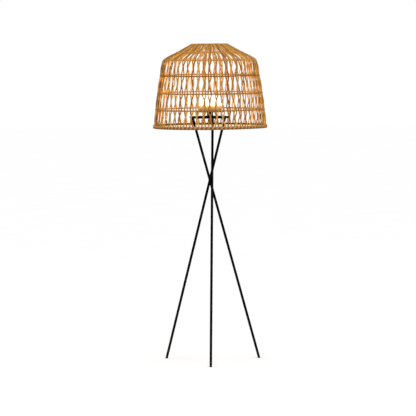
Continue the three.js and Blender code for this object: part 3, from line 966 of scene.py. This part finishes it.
@dataclass
class ShadeLine:
    """The middle line of the weave from the top edge over the shoulder down to the foot.

    Attributes:
        radii: its radius at each row of binding, from the top edge to the bottom border, in metres.
        heights: its height at the same rows.
        swell: how far each span between two rows bows outwards, in metres.
        softening: how far the corner at the shoulder is rounded, in spans between rows.
        readings: how many readings of the line are averaged there.
        probe: how far before and behind a place its slope is read, in spans.
        pairs: how many pairs of strands stand round the shade.
    """

    radii: tuple[float, ...] = (0.090, 0.155, 0.2185, 0.2320, 0.2455, 0.2551, 0.262)
    heights: tuple[float, ...] = (1.4950, 1.4587, 1.4250, 1.3510, 1.2680, 1.1900, 1.1200)
    swell: tuple[float, ...] = (0.0, 0.0018, 0.0016, 0.0008, 0.0003, 0.0)
    softening: float = 0.11
    readings: int = 5
    probe: float = 0.02
    pairs: int = 54

    def at(self, place: Array) -> tuple[Array, Array]:
        """Radius and height at places counted in spans from the top edge.

        Formula: the mean of a few readings of the straight line from row to row, spread evenly over the
        softening on either side, moved out by the span's swell * sin(pi * f)^2, with f the fraction of the
        span. Past both ends the line runs on straight.

        Args:
            place: places, where whole numbers are rows of binding.

        Returns:
            The radii and the heights.
        """
        rows = np.arange(-1, len(self.radii) + 1)
        table = np.array([self.radii, self.heights])
        first, last = 2 * table[:, :1] - table[:, 1:2], 2 * table[:, -1:] - table[:, -2:-1]
        table = np.concatenate([first, table, last], axis=1)
        taps = place[..., None] + np.linspace(-self.softening, self.softening, self.readings)
        radius = np.interp(taps, rows, table[0]).mean(axis=-1)
        height = np.interp(taps, rows, table[1]).mean(axis=-1)
        span = np.clip(np.floor(place).astype(int), 0, len(self.swell) - 1)
        along = unit(np.diff(table, axis=1).T)[span + 1]
        bow = np.array(self.swell)[span] * np.sin(math.pi * place) ** 2 * (place >= 0)
        return radius - bow * along[..., 1], height + bow * along[..., 0]

    def outward(self, place: Array) -> tuple[Array, Array]:
        """The outward normal as its radial and upward parts, from the line's slope.

        Args:
            place: places in spans from the top edge.

        Returns:
            The two parts.
        """
        radius_low, height_low = self.at(place - self.probe)
        radius_high, height_high = self.at(place + self.probe)
        along = unit(np.stack([radius_high - radius_low, height_high - height_low], axis=-1))
        return -along[..., 1], along[..., 0]


def smooth_between(values: Array, place: Array) -> Array:
    """Reads rows of values at places between whole numbers, easing in and out of each.

    Formula: (1 - w) * value before + w * value after, with w = f^2 * (3 - 2f) and f the place's fraction.

    Args:
        values: one row for each line, one column for each whole place.
        place: the places to read, alike for all rows.

    Returns:
        One row for each line, one column for each place.
    """
    low = np.clip(np.floor(place).astype(int), 0, values.shape[1] - 2)
    share = np.clip(place - low, 0, 1)
    eased = share**2 * (3 - 2 * share)
    return values[:, low] * (1 - eased) + values[:, low + 1] * eased


@dataclass
class StandingStrands:
    """The flat reeds that run from the top border over the shoulder into the bottom border.

    They stand in pairs. The two reeds of a pair are evenly spaced from all others at each row of binding.
    On the wall they cross half way between two rows, one passing over the other. On the cone they stand side
    by side there, with a slit between them.

    Attributes:
        line: the middle line of the weave.
        width: width of a reed in metres.
        depth: its thickness.
        span_steps: points of a reed in one span of the wall.
        sides: points round its section.
        cone_spans: spans from the top edge to the shoulder.
        fill: largest share of the room beside each other that the reeds take.
        slit: width of the slit between the two reeds of a pair on the cone.
        pinch: how sharply a pair closes up after a row.
        lift: how far a reed stands off the middle surface where it crosses, in thicknesses.
        ends: how far reeds run past the first and the last row, in spans.
        stray: how far reeds stray sideways, in metres.
        stray_alone: share of a reed's own straying.
        stray_together: share of the straying of both reeds of a pair.
        stray_held: share of the straying that is left at a row.
        stray_radius: radius from which reeds stray fully; further in they stray less.
        stray_least: share of the straying that is left nearest to the axis.
        unevenness: how much a reed's thickness varies.
        seed: start of the random numbers.
    """

    line: ShadeLine
    width: float = 0.0060
    depth: float = 0.0036
    span_steps: int = 11
    sides: int = 8
    cone_spans: int = 2
    fill: float = 0.94
    slit: float = 0.0018
    pinch: float = 1.9
    lift: float = 0.55
    ends: Span = (0.08, 0.04)
    stray: float = 0.0026
    stray_alone: float = 0.7
    stray_together: float = 0.9
    stray_held: float = 0.35
    stray_radius: float = 0.214
    stray_least: float = 0.3
    unevenness: float = 0.12
    seed: int = 16

    def surface(self) -> Surface:
        """All the reeds.

        Formula: with s the place in spans, reed r of a pair stands beside the pair's middle by
        r * pitch / 4 * sign(cos(pi s)) * |cos(pi s)|^pinch, plus a seeded stray. On the cone the sign is
        left out and the distance is at least half a width and half a slit. On the wall it stands in front
        of the middle surface by r * lift * thickness * sin(pi s), which changes side at each row. A reed is
        no wider than its share of the room.

        Returns:
            Their surface.
        """
        chance = np.random.default_rng(self.seed)
        spans = len(self.line.radii) - 1
        place = np.linspace(-self.ends[0], spans + self.ends[1], spans * self.span_steps + 3)
        radius, height = self.line.at(place)
        radial, upward = self.line.outward(place)
        count = 2 * self.line.pairs
        pair = np.repeat(np.arange(self.line.pairs), 2)
        side = np.tile([-1.0, 1.0], self.line.pairs)[:, None]
        pitch = 2 * math.pi / self.line.pairs
        wall = place > self.cone_spans
        room = radius * pitch / 2
        width = np.minimum(self.width, self.fill * room)
        swing = np.cos(math.pi * place)
        closing = np.abs(swing) ** self.pinch * room / 2
        closing = np.where(wall, np.sign(swing) * closing, np.maximum(closing, (width + self.slit) / 2))
        level = smooth_between(chance.normal(0, 1, (count, 2 * spans + 3)), 2 * place)
        together = smooth_between(chance.normal(0, 1, (self.line.pairs, 2 * spans + 3)), 2 * place)[pair]
        free = self.stray_held + (1 - self.stray_held) * np.sin(math.pi * place) ** 2
        narrow = np.clip(radius / self.stray_radius, self.stray_least, 1.0)
        stray = (self.stray_alone * level + self.stray_together * together) * free * self.stray * narrow
        beside = side * closing + stray
        angle = pair[:, None] * pitch + pitch / 2 - math.pi / 2 + beside / radius
        lift = side * np.sin(math.pi * place) * (self.lift * self.depth) * wall
        centres = around(radius + lift * radial, angle, height + lift * upward)
        outward = around(radial, angle, upward)
        uneven = smooth_between(chance.uniform(-1, 1, (count, spans + 2)), place)
        thickness = 1 + self.unevenness * uneven
        tone = chance.uniform(0, 1, count)
        return swept(centres, outward, width * thickness, self.depth * thickness, self.sides, False, tone)


@dataclass
class TwinedRow:
    """A row of binding: two flat canes that turn round each other and take each reed between them.

    Attributes:
        line: the middle line of the weave.
        place: the row's place in spans from the top edge.
        cord: width of a cane in metres, up and down.
        thickness: its size in and out.
        hold: how far a cane's middle stands in front of or behind the reeds.
        spread: how far it stands over or under the row.
        twist: the hand of the turns.
        tones: lowest and highest tone of its canes.
        sway: how far the row wanders up and down, in metres.
        sways: points round the lamp between which it wanders.
        steps: points of one full turn.
        sides: points round a cord.
        seed: start of the random numbers.
    """

    line: ShadeLine
    place: float
    cord: float = 0.0044
    thickness: float = 0.0023
    hold: float = 0.0030
    spread: float = 0.0011
    twist: Twist = Twist.LEFT
    tones: Span = (0.2, 0.8)
    sway: float = 0.0005
    sways: int = 19
    steps: int = 8
    sides: int = 6
    seed: int = 3

    def surface(self) -> Surface:
        """Both cords.

        Formula: at angle a round the lamp the phase is p = pairs * a, and half a turn more for the second
        cord. A cord stands in front of the weave by hold * sin(p), and above the row by
        spread * cos(p) * hand.

        Returns:
            Their surface.
        """
        chance = np.random.default_rng(self.seed)
        total = self.line.pairs * self.steps
        angle = full_turn(total) - math.pi / 2
        radius, height = self.line.at(np.array([self.place]))
        radial, upward = self.line.outward(np.array([self.place]))
        phase = self.line.pairs * (angle + math.pi / 2) + np.array([[0.0], [math.pi]])
        front = self.hold * np.sin(phase)
        knots = np.linspace(0, total, self.sways)
        wave = np.interp(np.arange(total), knots, chance.normal(0, self.sway, self.sways), period=total)
        above = self.spread * np.cos(phase) * self.twist.value + wave
        out = radius + front * radial - above * upward
        centres = around(out, angle, height + front * upward + above * radial)
        outward = around(radial, angle, upward)
        width, depth = np.full(phase.shape, self.cord), np.full(phase.shape, self.thickness)
        return swept(centres, outward, width, depth, self.sides, True, chance.uniform(*self.tones, 2))


@dataclass
class BottomBorder:
    """The thick lower border: rows of heavy twining round a core, one under the other.

    Attributes:
        radius: radius of its middle in metres.
        top: height of its upper edge.
        height: its height.
        rows: rows of twining.
        turns: full turns of a row round the lamp.
        cord: thickness of a cord.
        reach: how far a cord's middle stands from the row's middle.
        core: width of the core.
        core_sides: points round the core.
        core_tone: tone of the core.
        cover: by how much the rows reach over and under the core together.
        tones: tone of each cord, from the top one down; they grow darker towards the bottom.
        tone_change: how far chance moves a cord's tone up or down.
        shift: by how much of its phase each row is moved on from the one above it.
        steps: points of one full turn.
        sides: points round a cord.
        seed: start of the random numbers.
    """

    radius: float = 0.2645
    top: float = 1.1195
    height: float = 0.0168
    rows: int = 3
    turns: int = 81
    cord: float = 0.0052
    reach: float = 0.0027
    core: float = 0.0062
    core_sides: int = 12
    core_tone: float = 0.1
    cover: float = 0.004
    tones: tuple[float, ...] = (0.88, 0.5, 0.75, 0.3, 0.45, 0.15)
    tone_change: float = 0.05
    shift: float = 0.9
    steps: int = 8
    sides: int = 8
    seed: int = 29

    def surface(self) -> Surface:
        """The rows and the core.

        Formula: at angle a, cord c of row r stands out by reach * sin(p) and up by reach / 2 * cos(p), with
        p = turns * a + pi * c + shift * r, and each row turns against the row above it. The inner side is
        painted dark in its upper part, as painted shade, and given the pale pith tone below.

        Returns:
            Their surface.
        """
        chance = np.random.default_rng(self.seed)
        total = self.turns * self.steps
        angle = full_turn(total)
        row = np.repeat(np.arange(self.rows), 2)[:, None]
        cord = np.tile([0, 1], self.rows)[:, None]
        hand = np.where(row % 2 == 0, 1.0, -1.0)
        phase = self.turns * angle + math.pi * cord + row * self.shift
        pitch = (self.height - self.cord - self.reach) / (self.rows - 1)
        middle = self.top - (self.cord + self.reach) / 2 - pitch * row
        rise = self.reach / 2 * np.cos(phase) * hand
        centres = around(self.radius + self.reach * np.sin(phase), angle, middle + rise)
        outward = around(1.0, angle, 0.0)
        size = np.full(phase.shape, self.cord)
        tone = np.array(self.tones) + chance.uniform(-self.tone_change, self.tone_change, len(self.tones))
        cords = swept(centres, outward, size, size, self.sides, True, np.clip(tone, 0, 1))
        # inner side: tone 0 in the upper part is painted shade; tone 1 below gives the pale pith colour
        inside = np.hypot(cords.points[:, 0], cords.points[:, 1]) < self.radius - self.reach / 2
        upper = cords.points[:, 2] > self.top - 2.0 * pitch
        cords.tone = np.where(inside, np.where(upper, 0.0, 1.0), cords.tone)
        ring = around(self.radius, angle, self.top - self.height / 2)
        tall, wide = np.full((1, total), self.height - self.cover), np.full((1, total), self.core)
        core = swept(ring[None], outward, tall, wide, self.core_sides, True, np.full(1, self.core_tone))
        return joined([cords, core])


@dataclass
class TopBorder:
    """The upper border: a core wrapped closely with flat cane.

    Attributes:
        radius: radius of its middle in metres.
        middle: height of its middle.
        width: its size in and out.
        height: its size up and down.
        wraps: turns of the flat cane round the core.
        relief: how far a wrap's middle stands over its edges.
        flatness: how flat the middle of a wrap is, where 1 is a half wave.
        tones: lowest and highest tone of its wraps.
        steps: points of one wrap along the rim.
        sides: points round the section.
        seed: start of the random numbers.
    """

    radius: float = 0.0849
    middle: float = 1.4955
    width: float = 0.0066
    height: float = 0.0088
    wraps: int = 96
    relief: float = 0.0007
    flatness: float = 0.6
    tones: Span = (0.1, 0.8)
    steps: int = 7
    sides: int = 16
    seed: int = 5

    def surface(self) -> Surface:
        """The wrapped rim.

        Formula: the section is an oval whose size loses relief * (1 - |sin(p)|^flatness), with
        p = wraps * a / 2 at angle a, so each wrap is a low ridge with a groove on either side.

        Returns:
            Its surface.
        """
        total = self.wraps * self.steps
        angle = full_turn(total)
        groove = self.relief * (1 - np.abs(np.sin(self.wraps * angle / 2)) ** self.flatness)
        centres, outward = around(self.radius, angle, self.middle), around(1.0, angle, 0.0)
        wide, deep = self.height - 2 * groove, self.width - 2 * groove
        line = centres[None], outward[None], wide[None], deep[None]
        surface = swept(*line, self.sides, True, np.zeros(1))
        wrap = np.repeat(np.arange(self.wraps), self.steps)
        tone = np.random.default_rng(self.seed).uniform(*self.tones, self.wraps)
        surface.tone = np.repeat(tone[wrap], self.sides)
        return surface


@dataclass
class RattanShade:
    """The woven shade with its borders and the steel carrier inside it.

    Attributes:
        line: the middle line of the weave.
        rows: node, place and tones of each row of binding; the two upper ones and the lowest are paler.
        row_seed: start of the random numbers of the first row.
    """

    line: ShadeLine = field(default_factory=ShadeLine)
    rows: tuple[tuple[str, float, Span], ...] = (
        ("cone_hoop", 1.0, (0.9, 1.0)),
        ("shoulder_hoop", 2.0, (0.8, 1.0)),
        ("wall_hoop_1", 3.0, (0.1, 0.6)),
        ("wall_hoop_2", 4.0, (0.3, 0.8)),
        ("wall_hoop_3", 5.0, (0.5, 1.0)),
    )
    row_seed: int = 40

    def build(self, finishes: dict[str, Material]) -> None:
        """Makes every woven piece and dresses the carrier.

        Args:
            finishes: the materials by name.
        """
        cane, binding, border = (finishes[key] for key in ("cane", "binding", "border"))
        strands = StandingStrands(self.line).surface()
        made_piece("standing_strands", strands, cane, Body.SHADE, ["wall_weave", "cone_weave"])
        for index, (node, place, tones) in enumerate(self.rows):
            twist = Twist.LEFT if index % 2 else Twist.RIGHT
            row = TwinedRow(self.line, place, twist=twist, tones=tones, seed=self.row_seed + index).surface()
            made_piece(f"twined_{node}", row, binding, Body.SHADE, [node])
        for name, edge, node in (
            ("twined_bottom_border", BottomBorder(), "bottom_border"),
            ("wrapped_top_border", TopBorder(), "top_border"),
        ):
            made_piece(name, edge.surface(), border, Body.SHADE, [node])
        dress(["shade_carrier"], finishes["brown_lacquer"])


# ---------------------------------------------------------------- the light and the stand


def dress(nodes: list[str], finish: Material) -> None:
    """Gives nodes that keep their shape a finish of their own.

    Args:
        nodes: the nodes' names.
        finish: the material.
    """
    for node in nodes:
        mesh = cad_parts[node].data
        if mesh.materials:
            mesh.materials[0] = finish
        else:
            mesh.materials.append(finish)
        log.info("%s: dressed with %s", node, finish.name)


@dataclass
class LightHead:
    """Cup, dome, stem and what carries the bulb.

    Attributes:
        dome_radius: outer radius of the dome in metres.
        dome_wall: thickness of its glass.
        dome_foot: height of its lower edge.
        skirt: height of its straight part.
        cup_radius: the cup's largest radius.
        cup_foot_radius: its radius at the bottom.
        cup_recess_radius: radius of its hollow.
        cup_bore: radius of the hole for the threaded tube.
        cup_low: height of its underside.
        cup_high: height of its rim.
        cup_floor: thickness of its floor.
        cup_swell: height over its underside at which its outside has nearly swollen to its full radius.
        cup_full: the same for the full radius.
        cup_taper: how much of the radius is still missing at the first of these heights.
        rebate: depth of the dome's seat.
        play: room round the dome in its seat.
        stem_radius: radius of the stem.
        stem_foot: radius of its foot.
        stem_low: height of its underside.
        stem_high: height of its top.
        stem_fillet: radius of the fillet on its foot, and height of the foot.
        facets: steps of a full turn round dome and cup.
        stem_facets: steps of a full turn round the stem.
        arc_steps: points of the dome's outer and inner arc.
        arc_end: the angle at which the arcs end, in degrees.
    """

    dome_radius: float = 0.053
    dome_wall: float = 0.003
    dome_foot: float = 1.2039
    skirt: float = 0.008
    cup_radius: float = 0.057
    cup_foot_radius: float = 0.050
    cup_recess_radius: float = 0.046
    cup_bore: float = 0.0054
    cup_low: float = 1.1816
    cup_high: float = 1.2086
    cup_floor: float = 0.008
    cup_swell: float = 0.0095
    cup_full: float = 0.020
    cup_taper: float = 0.0005
    rebate: float = 0.005
    play: float = 0.0003
    stem_radius: float = 0.014
    stem_foot: float = 0.018
    stem_low: float = 1.1583
    stem_high: float = 1.1780
    stem_fillet: float = 0.003
    facets: int = 96
    stem_facets: int = 64
    arc_steps: int = 26
    arc_end: float = 89.2

    def dome(self) -> Surface:
        """The glass: a half ball on a short straight skirt, with a small flat where the poles close.

        Formula: the outer and inner arcs are centre + radius * (cos(a), sin(a)), with a from 0 to nearly a
        right angle, out and back.

        Returns:
            Its surface.
        """
        centre = self.dome_foot + self.skirt
        inner = self.dome_radius - self.dome_wall
        rise = np.linspace(0, math.radians(self.arc_end), self.arc_steps)
        arc = np.stack([np.cos(rise), np.sin(rise)], axis=1)
        outside = [0, centre] + self.dome_radius * arc
        inside = [0, centre] + inner * arc[::-1]
        round_off = self.dome_wall / 3
        foot = np.array(
            [
                [inner, self.dome_foot + round_off],
                [inner + round_off, self.dome_foot],
                [self.dome_radius - round_off, self.dome_foot],
                [self.dome_radius, self.dome_foot + round_off],
            ]
        )
        profile = np.concatenate([foot, outside, inside])
        shell = turned(profile, np.zeros(len(profile)), self.facets)
        return closed_at_axis(shell, len(profile), len(foot) + len(outside) - 1)

    def cup(self) -> Surface:
        """The turned cup: a swelling outside, a rebate for the dome and a round hollow.

        Returns:
            Its surface.
        """
        ledge = self.cup_high - self.rebate
        floor = self.cup_low + self.cup_floor
        seat = self.dome_radius + self.play
        corners = [
            (self.cup_bore, self.cup_low, 0.0004),
            (self.cup_foot_radius, self.cup_low, 0.0022),
            (self.cup_radius - self.cup_taper, self.cup_low + self.cup_swell, 0.0075),
            (self.cup_radius, self.cup_low + self.cup_full, 0.003),
            (self.cup_radius, self.cup_high, 0.0012),
            (seat, self.cup_high, 0.0006),
            (seat, ledge, 0.0002),
            (self.cup_recess_radius, ledge, 0.0005),
            (self.cup_recess_radius, floor, 0.0016),
            (self.cup_bore, floor, 0.0004),
        ]
        return turned(*rounded(corners, steps=5), self.facets)

    def stem(self) -> Surface:
        """The short spun stem between crown and seat plate, with a hollow fillet on its foot.

        Returns:
            Its surface.
        """
        corners = [
            (self.cup_bore, self.stem_low, 0.0003),
            (self.stem_foot, self.stem_low, 0.0005),
            (self.stem_foot, self.stem_low + self.stem_fillet, 0.0006),
            (self.stem_radius, self.stem_low + self.stem_fillet, self.stem_fillet),
            (self.stem_radius, self.stem_high, 0.0005),
            (self.cup_bore, self.stem_high, 0.0003),
        ]
        return turned(*rounded(corners, steps=5), self.stem_facets)

    def build(self, finishes: dict[str, Material]) -> None:
        """Makes the glass, cup and stem, and dresses what carries them.

        Args:
            finishes: the materials by name.
        """
        glass = made_piece("opal_dome", self.dome(), finishes["opal"], Body.DOME, ["dome"])
        glass.visible_shadow = False
        made_piece("turned_cup", self.cup(), finishes["wood"], Body.STAND, ["cup"])
        made_piece("spun_stem", self.stem(), finishes["black_steel"], Body.STAND, ["stem"])
        dressed = {
            "black_steel": ["seat_plate"],
            "zinc": ["lower_washer", "lower_nut", "nipple", "upper_nut"],
            "ceramic": ["lampholder"],
            "capsule": ["bulb"],
            "black_plastic": ["cord_gland"],
        }
        for key, nodes in dressed.items():
            dress(nodes, finishes[key])


@dataclass
class CrossingTripod:
    """The three tubes, their plugs and the crown that they carry.

    Attributes:
        legs: how many tubes there are.
        radius: outer radius of a tube in metres.
        wall: thickness of its wall.
        foot_circle: radius of the circle on which the tubes' axes meet the floor.
        top_circle: radius of the circle on which they meet the crown's underside.
        underside: height of the crown's underside.
        gap: room between two pieces that touch.
        head: length of a plug's head, from the floor to the tube.
        spigot: length of the plug inside the tube.
        rounding: radius of the plug's rounded edge.
        dip: how far the plug's face would reach under the floor before it is cut flat.
        pin: radius of the small hole at a plug's axis, which is closed flat.
        overrun: a tube's length before it is cut, as a share of the crown's height.
        facets: steps round a tube.
    """

    legs: int = 3
    radius: float = 0.006
    wall: float = 0.0012
    foot_circle: float = 0.255
    top_circle: float = 0.0875
    underside: float = 1.15
    gap: float = 0.0003
    head: float = 0.011
    spigot: float = 0.018
    rounding: float = 0.003
    dip: float = 0.0012
    pin: float = 0.00015
    overrun: float = 1.1
    facets: int = 32

    def on_leg(self, surface: Surface, number: int) -> Surface:
        """Leans a surface that stands on the lamp's axis onto the axis of a leg.

        Formula: the legs' axes pass the lamp's axis at the distance at which three crossing tubes just
        clear one another. The surface leans by the angle whose tangent is run / rise, and each further leg
        is turned by a third of a circle. A point over the crown's underside slides back along the leg to
        it, and one under the floor is lifted onto it.

        Args:
            surface: the surface, with its foot at height 0.
            number: the leg's number, from 1.

        Returns:
            The same surface, in its place.
        """
        slope = (self.foot_circle + self.top_circle) / self.underside
        offset = (2 * self.radius + self.gap) * math.sqrt(1 + slope**2 / 4) / math.sqrt(3)
        foot_run = math.sqrt(self.foot_circle**2 - offset**2)
        run = foot_run + math.sqrt(self.top_circle**2 - offset**2)
        length = math.hypot(run, self.underside)
        upright, aside = self.underside / length, run / length
        lean = np.array([[1, 0, 0], [0, upright, aside], [0, -aside, upright]])
        points = surface.points @ lean.T + [offset, -foot_run, 0]
        over = np.maximum(points[:, 2:] - (self.underside - self.gap), 0)
        points -= over * [0, run / self.underside, 1]
        points[:, 2] = np.maximum(points[:, 2], 0)
        turn = (number - 1) * 2 * math.pi / self.legs
        round_axis = [[math.cos(turn), math.sin(turn), 0], [-math.sin(turn), math.cos(turn), 0], [0, 0, 1]]
        surface.points = points @ round_axis
        return surface

    def tube(self, number: int) -> Surface:
        """A round tube from its plug to the crown, cut level at its top.

        Args:
            number: the leg's number.

        Returns:
            Its surface.
        """
        bore, low = self.radius - self.wall, self.head + self.gap
        high = self.overrun * self.underside
        corners = [(bore, low, 0.0), (self.radius, low, 0.0003), (self.radius, high, 0.0), (bore, high, 0.0)]
        return self.on_leg(turned(*rounded(corners, steps=4), self.facets), number)

    def plug(self, number: int) -> Surface:
        """A moulded plug: a head with a rounded foot, and a spigot inside the tube.

        Args:
            number: the leg's number.

        Returns:
            Its surface.
        """
        spigot = self.radius - self.wall - self.gap
        end = self.head + self.spigot
        corners = [
            (self.pin, -self.dip, 0.0),
            (self.radius, -self.dip, self.rounding),
            (self.radius, self.head, 0.0003),
            (spigot, self.head, 0.0),
            (spigot, end, 0.0005),
            (self.pin, end, 0.0),
        ]
        profile, edge = rounded(corners, steps=7)
        shell = turned(profile, edge, self.facets)
        return self.on_leg(closed_at_axis(shell, len(profile), len(profile) - 1), number)

    def build(self, finishes: dict[str, Material]) -> None:
        """Makes the tubes and plugs, and dresses the inserts, screws and crown.

        Args:
            finishes: the materials by name.
        """
        steel, plastic = finishes["black_steel"], finishes["black_plastic"]
        for number in range(1, self.legs + 1):
            tube, plug = self.tube(number), self.plug(number)
            made_piece(f"round_tube_{number}", tube, steel, Body.STAND, [f"leg_{number}"])
            name, node = f"moulded_plug_{number}", f"foot_plug_{number}"
            made_piece(name, plug, plastic, Body.STAND, [node])
            dress([f"leg_screw_{number}"], steel)
            dress([f"leg_insert_{number}"], finishes["zinc"])
        dress(["crown_ring"], steel)


# ---------------------------------------------------------------- the studio


@dataclass
class Studio:
    """Pale floor, white surroundings, two lights and the camera at the photograph's viewing angle.

    Attributes:
        distance: from the camera to the lamp's axis, in metres.
        azimuth: how far the camera has gone round from the front, in degrees.
        eye: the camera's height.
        aim: height of the point of the axis that it looks at.
        sideways: how far the lamp stands right of the picture's middle, in metres.
        roll: the camera's tilt about its own axis, in degrees.
        pixels: focal length in pixels of the picture.
        floor_size: the floor's half width.
        sky: strength of the surrounding light.
        glow_size: radius of the light inside the dome, in metres.
        glow_height: its height.
        glow_power: its power in watts.
        glow_colour: its colour.
        key_place: where the soft square light hangs, in metres.
        key_size: its side.
        key_power: its power in watts.
        key_colour: its colour.
        key_aim: height of the point that it faces.
    """

    distance: float = 15.0
    azimuth: float = 3.1
    eye: float = 1.66
    aim: float = 0.7255
    sideways: float = 0.0135
    roll: float = -0.5
    pixels: float = 3180.0
    floor_size: float = 30.0
    sky: float = 1.0
    glow_size: float = 0.035
    glow_height: float = 1.238
    glow_power: float = 5.0
    glow_colour: Colour = (1.0, 0.72, 0.27)
    key_place: Triple = (1.4, -4.0, 3.2)
    key_size: float = 2.6
    key_power: float = 30.0
    key_colour: Colour = (1.0, 0.98, 0.95)
    key_aim: float = 0.9

    def camera(self) -> None:
        """Makes the camera: it looks at the aim point from the distance, then turns by the roll."""
        turn = math.radians(self.azimuth)
        reach = math.sqrt(self.distance**2 - (self.eye - self.aim) ** 2)
        place = Vector((math.sin(turn) * reach, -math.cos(turn) * reach, self.eye))
        target = Vector((-math.cos(turn) * self.sideways, -math.sin(turn) * self.sideways, self.aim))
        lens = bpy.data.cameras.new("photo_camera")
        lens.sensor_width = 36.0
        lens.lens = self.pixels / FRAME_WIDTH * lens.sensor_width
        lens.clip_end = 200.0
        camera = placed("photo_camera", lens)
        camera.location = place
        lean = Quaternion((place - target).normalized(), math.radians(self.roll))
        camera.rotation_euler = (lean @ (target - place).to_track_quat("-Z", "Y")).to_euler()
        bpy.context.scene.camera = camera

    def key_lamp(self) -> None:
        """The soft square light that faces the shade."""
        light = bpy.data.lights.new("key_lamp", "AREA")
        light.size = self.key_size
        light.energy = self.key_power
        light.color = self.key_colour
        lamp = placed("key_lamp", light)
        lamp.location = self.key_place
        aim = Vector((0, 0, self.key_aim)) - Vector(self.key_place)
        lamp.rotation_euler = aim.to_track_quat("-Z", "Y").to_euler()

    def bulb_light(self) -> None:
        """The warm light inside the dome, as large as the hollow that it fills."""
        light = bpy.data.lights.new("bulb_light", "POINT")
        light.shadow_soft_size = self.glow_size
        light.energy = self.glow_power
        light.color = self.glow_colour
        glow = placed("bulb_light", light)
        glow.location = (0.0, 0.0, self.glow_height)
        glow.visible_camera = False

    def world(self) -> None:
        """White surroundings: full where they are seen, in gloss or through glass too, and the sky else."""
        world = bpy.data.worlds.new("studio")
        world.use_nodes = True
        world.node_tree.nodes.clear()
        sheet = NodeSheet(world.node_tree)
        path = sheet.add("LightPath")
        seen = path.outputs["Is Camera Ray"]
        for way in ("Is Glossy Ray", "Is Transmission Ray"):
            seen = sheet.add("Math", {0: seen, 1: path.outputs[way]}, operation="MAXIMUM").outputs[0]
        strength = sheet.between(seen, self.sky, 1.0)
        background = sheet.add("Background", {"Color": (*WHITE, 1.0), "Strength": strength})
        sheet.add("OutputWorld", {"Surface": background.outputs[0]})
        bpy.context.scene.world = world

    def floor(self) -> None:
        """A pale floor under the feet that keeps the lamp's shadow."""
        half = self.floor_size
        mesh = bpy.data.meshes.new("studio_floor")
        corners = [(-half, -half, 0), (half, -half, 0), (half, half, 0), (-half, half, 0)]
        mesh.from_pydata(corners, [], [(0, 1, 2, 3)])
        mesh.materials.append(FloorFinish("studio_floor").build())
        floor = placed("studio_floor", mesh)

    def build(self) -> None:
        """Sets up the camera, the surroundings, the floor and both lights."""
        self.camera()
        self.world()
        self.floor()
        self.key_lamp()
        self.bulb_light()
        bpy.context.scene.view_settings.view_transform = "Standard"
        log.info("studio: camera, surroundings, floor and lamps")


def main() -> None:
    """Builds the finishes, then every sub-assembly, then the studio."""
    finishes = {key: finish.build() for key, finish in FINISHES.items()}
    RattanShade().build(finishes)
    LightHead().build(finishes)
    CrossingTripod().build(finishes)
    Studio().build()


if __name__ == "__main__":
    main()
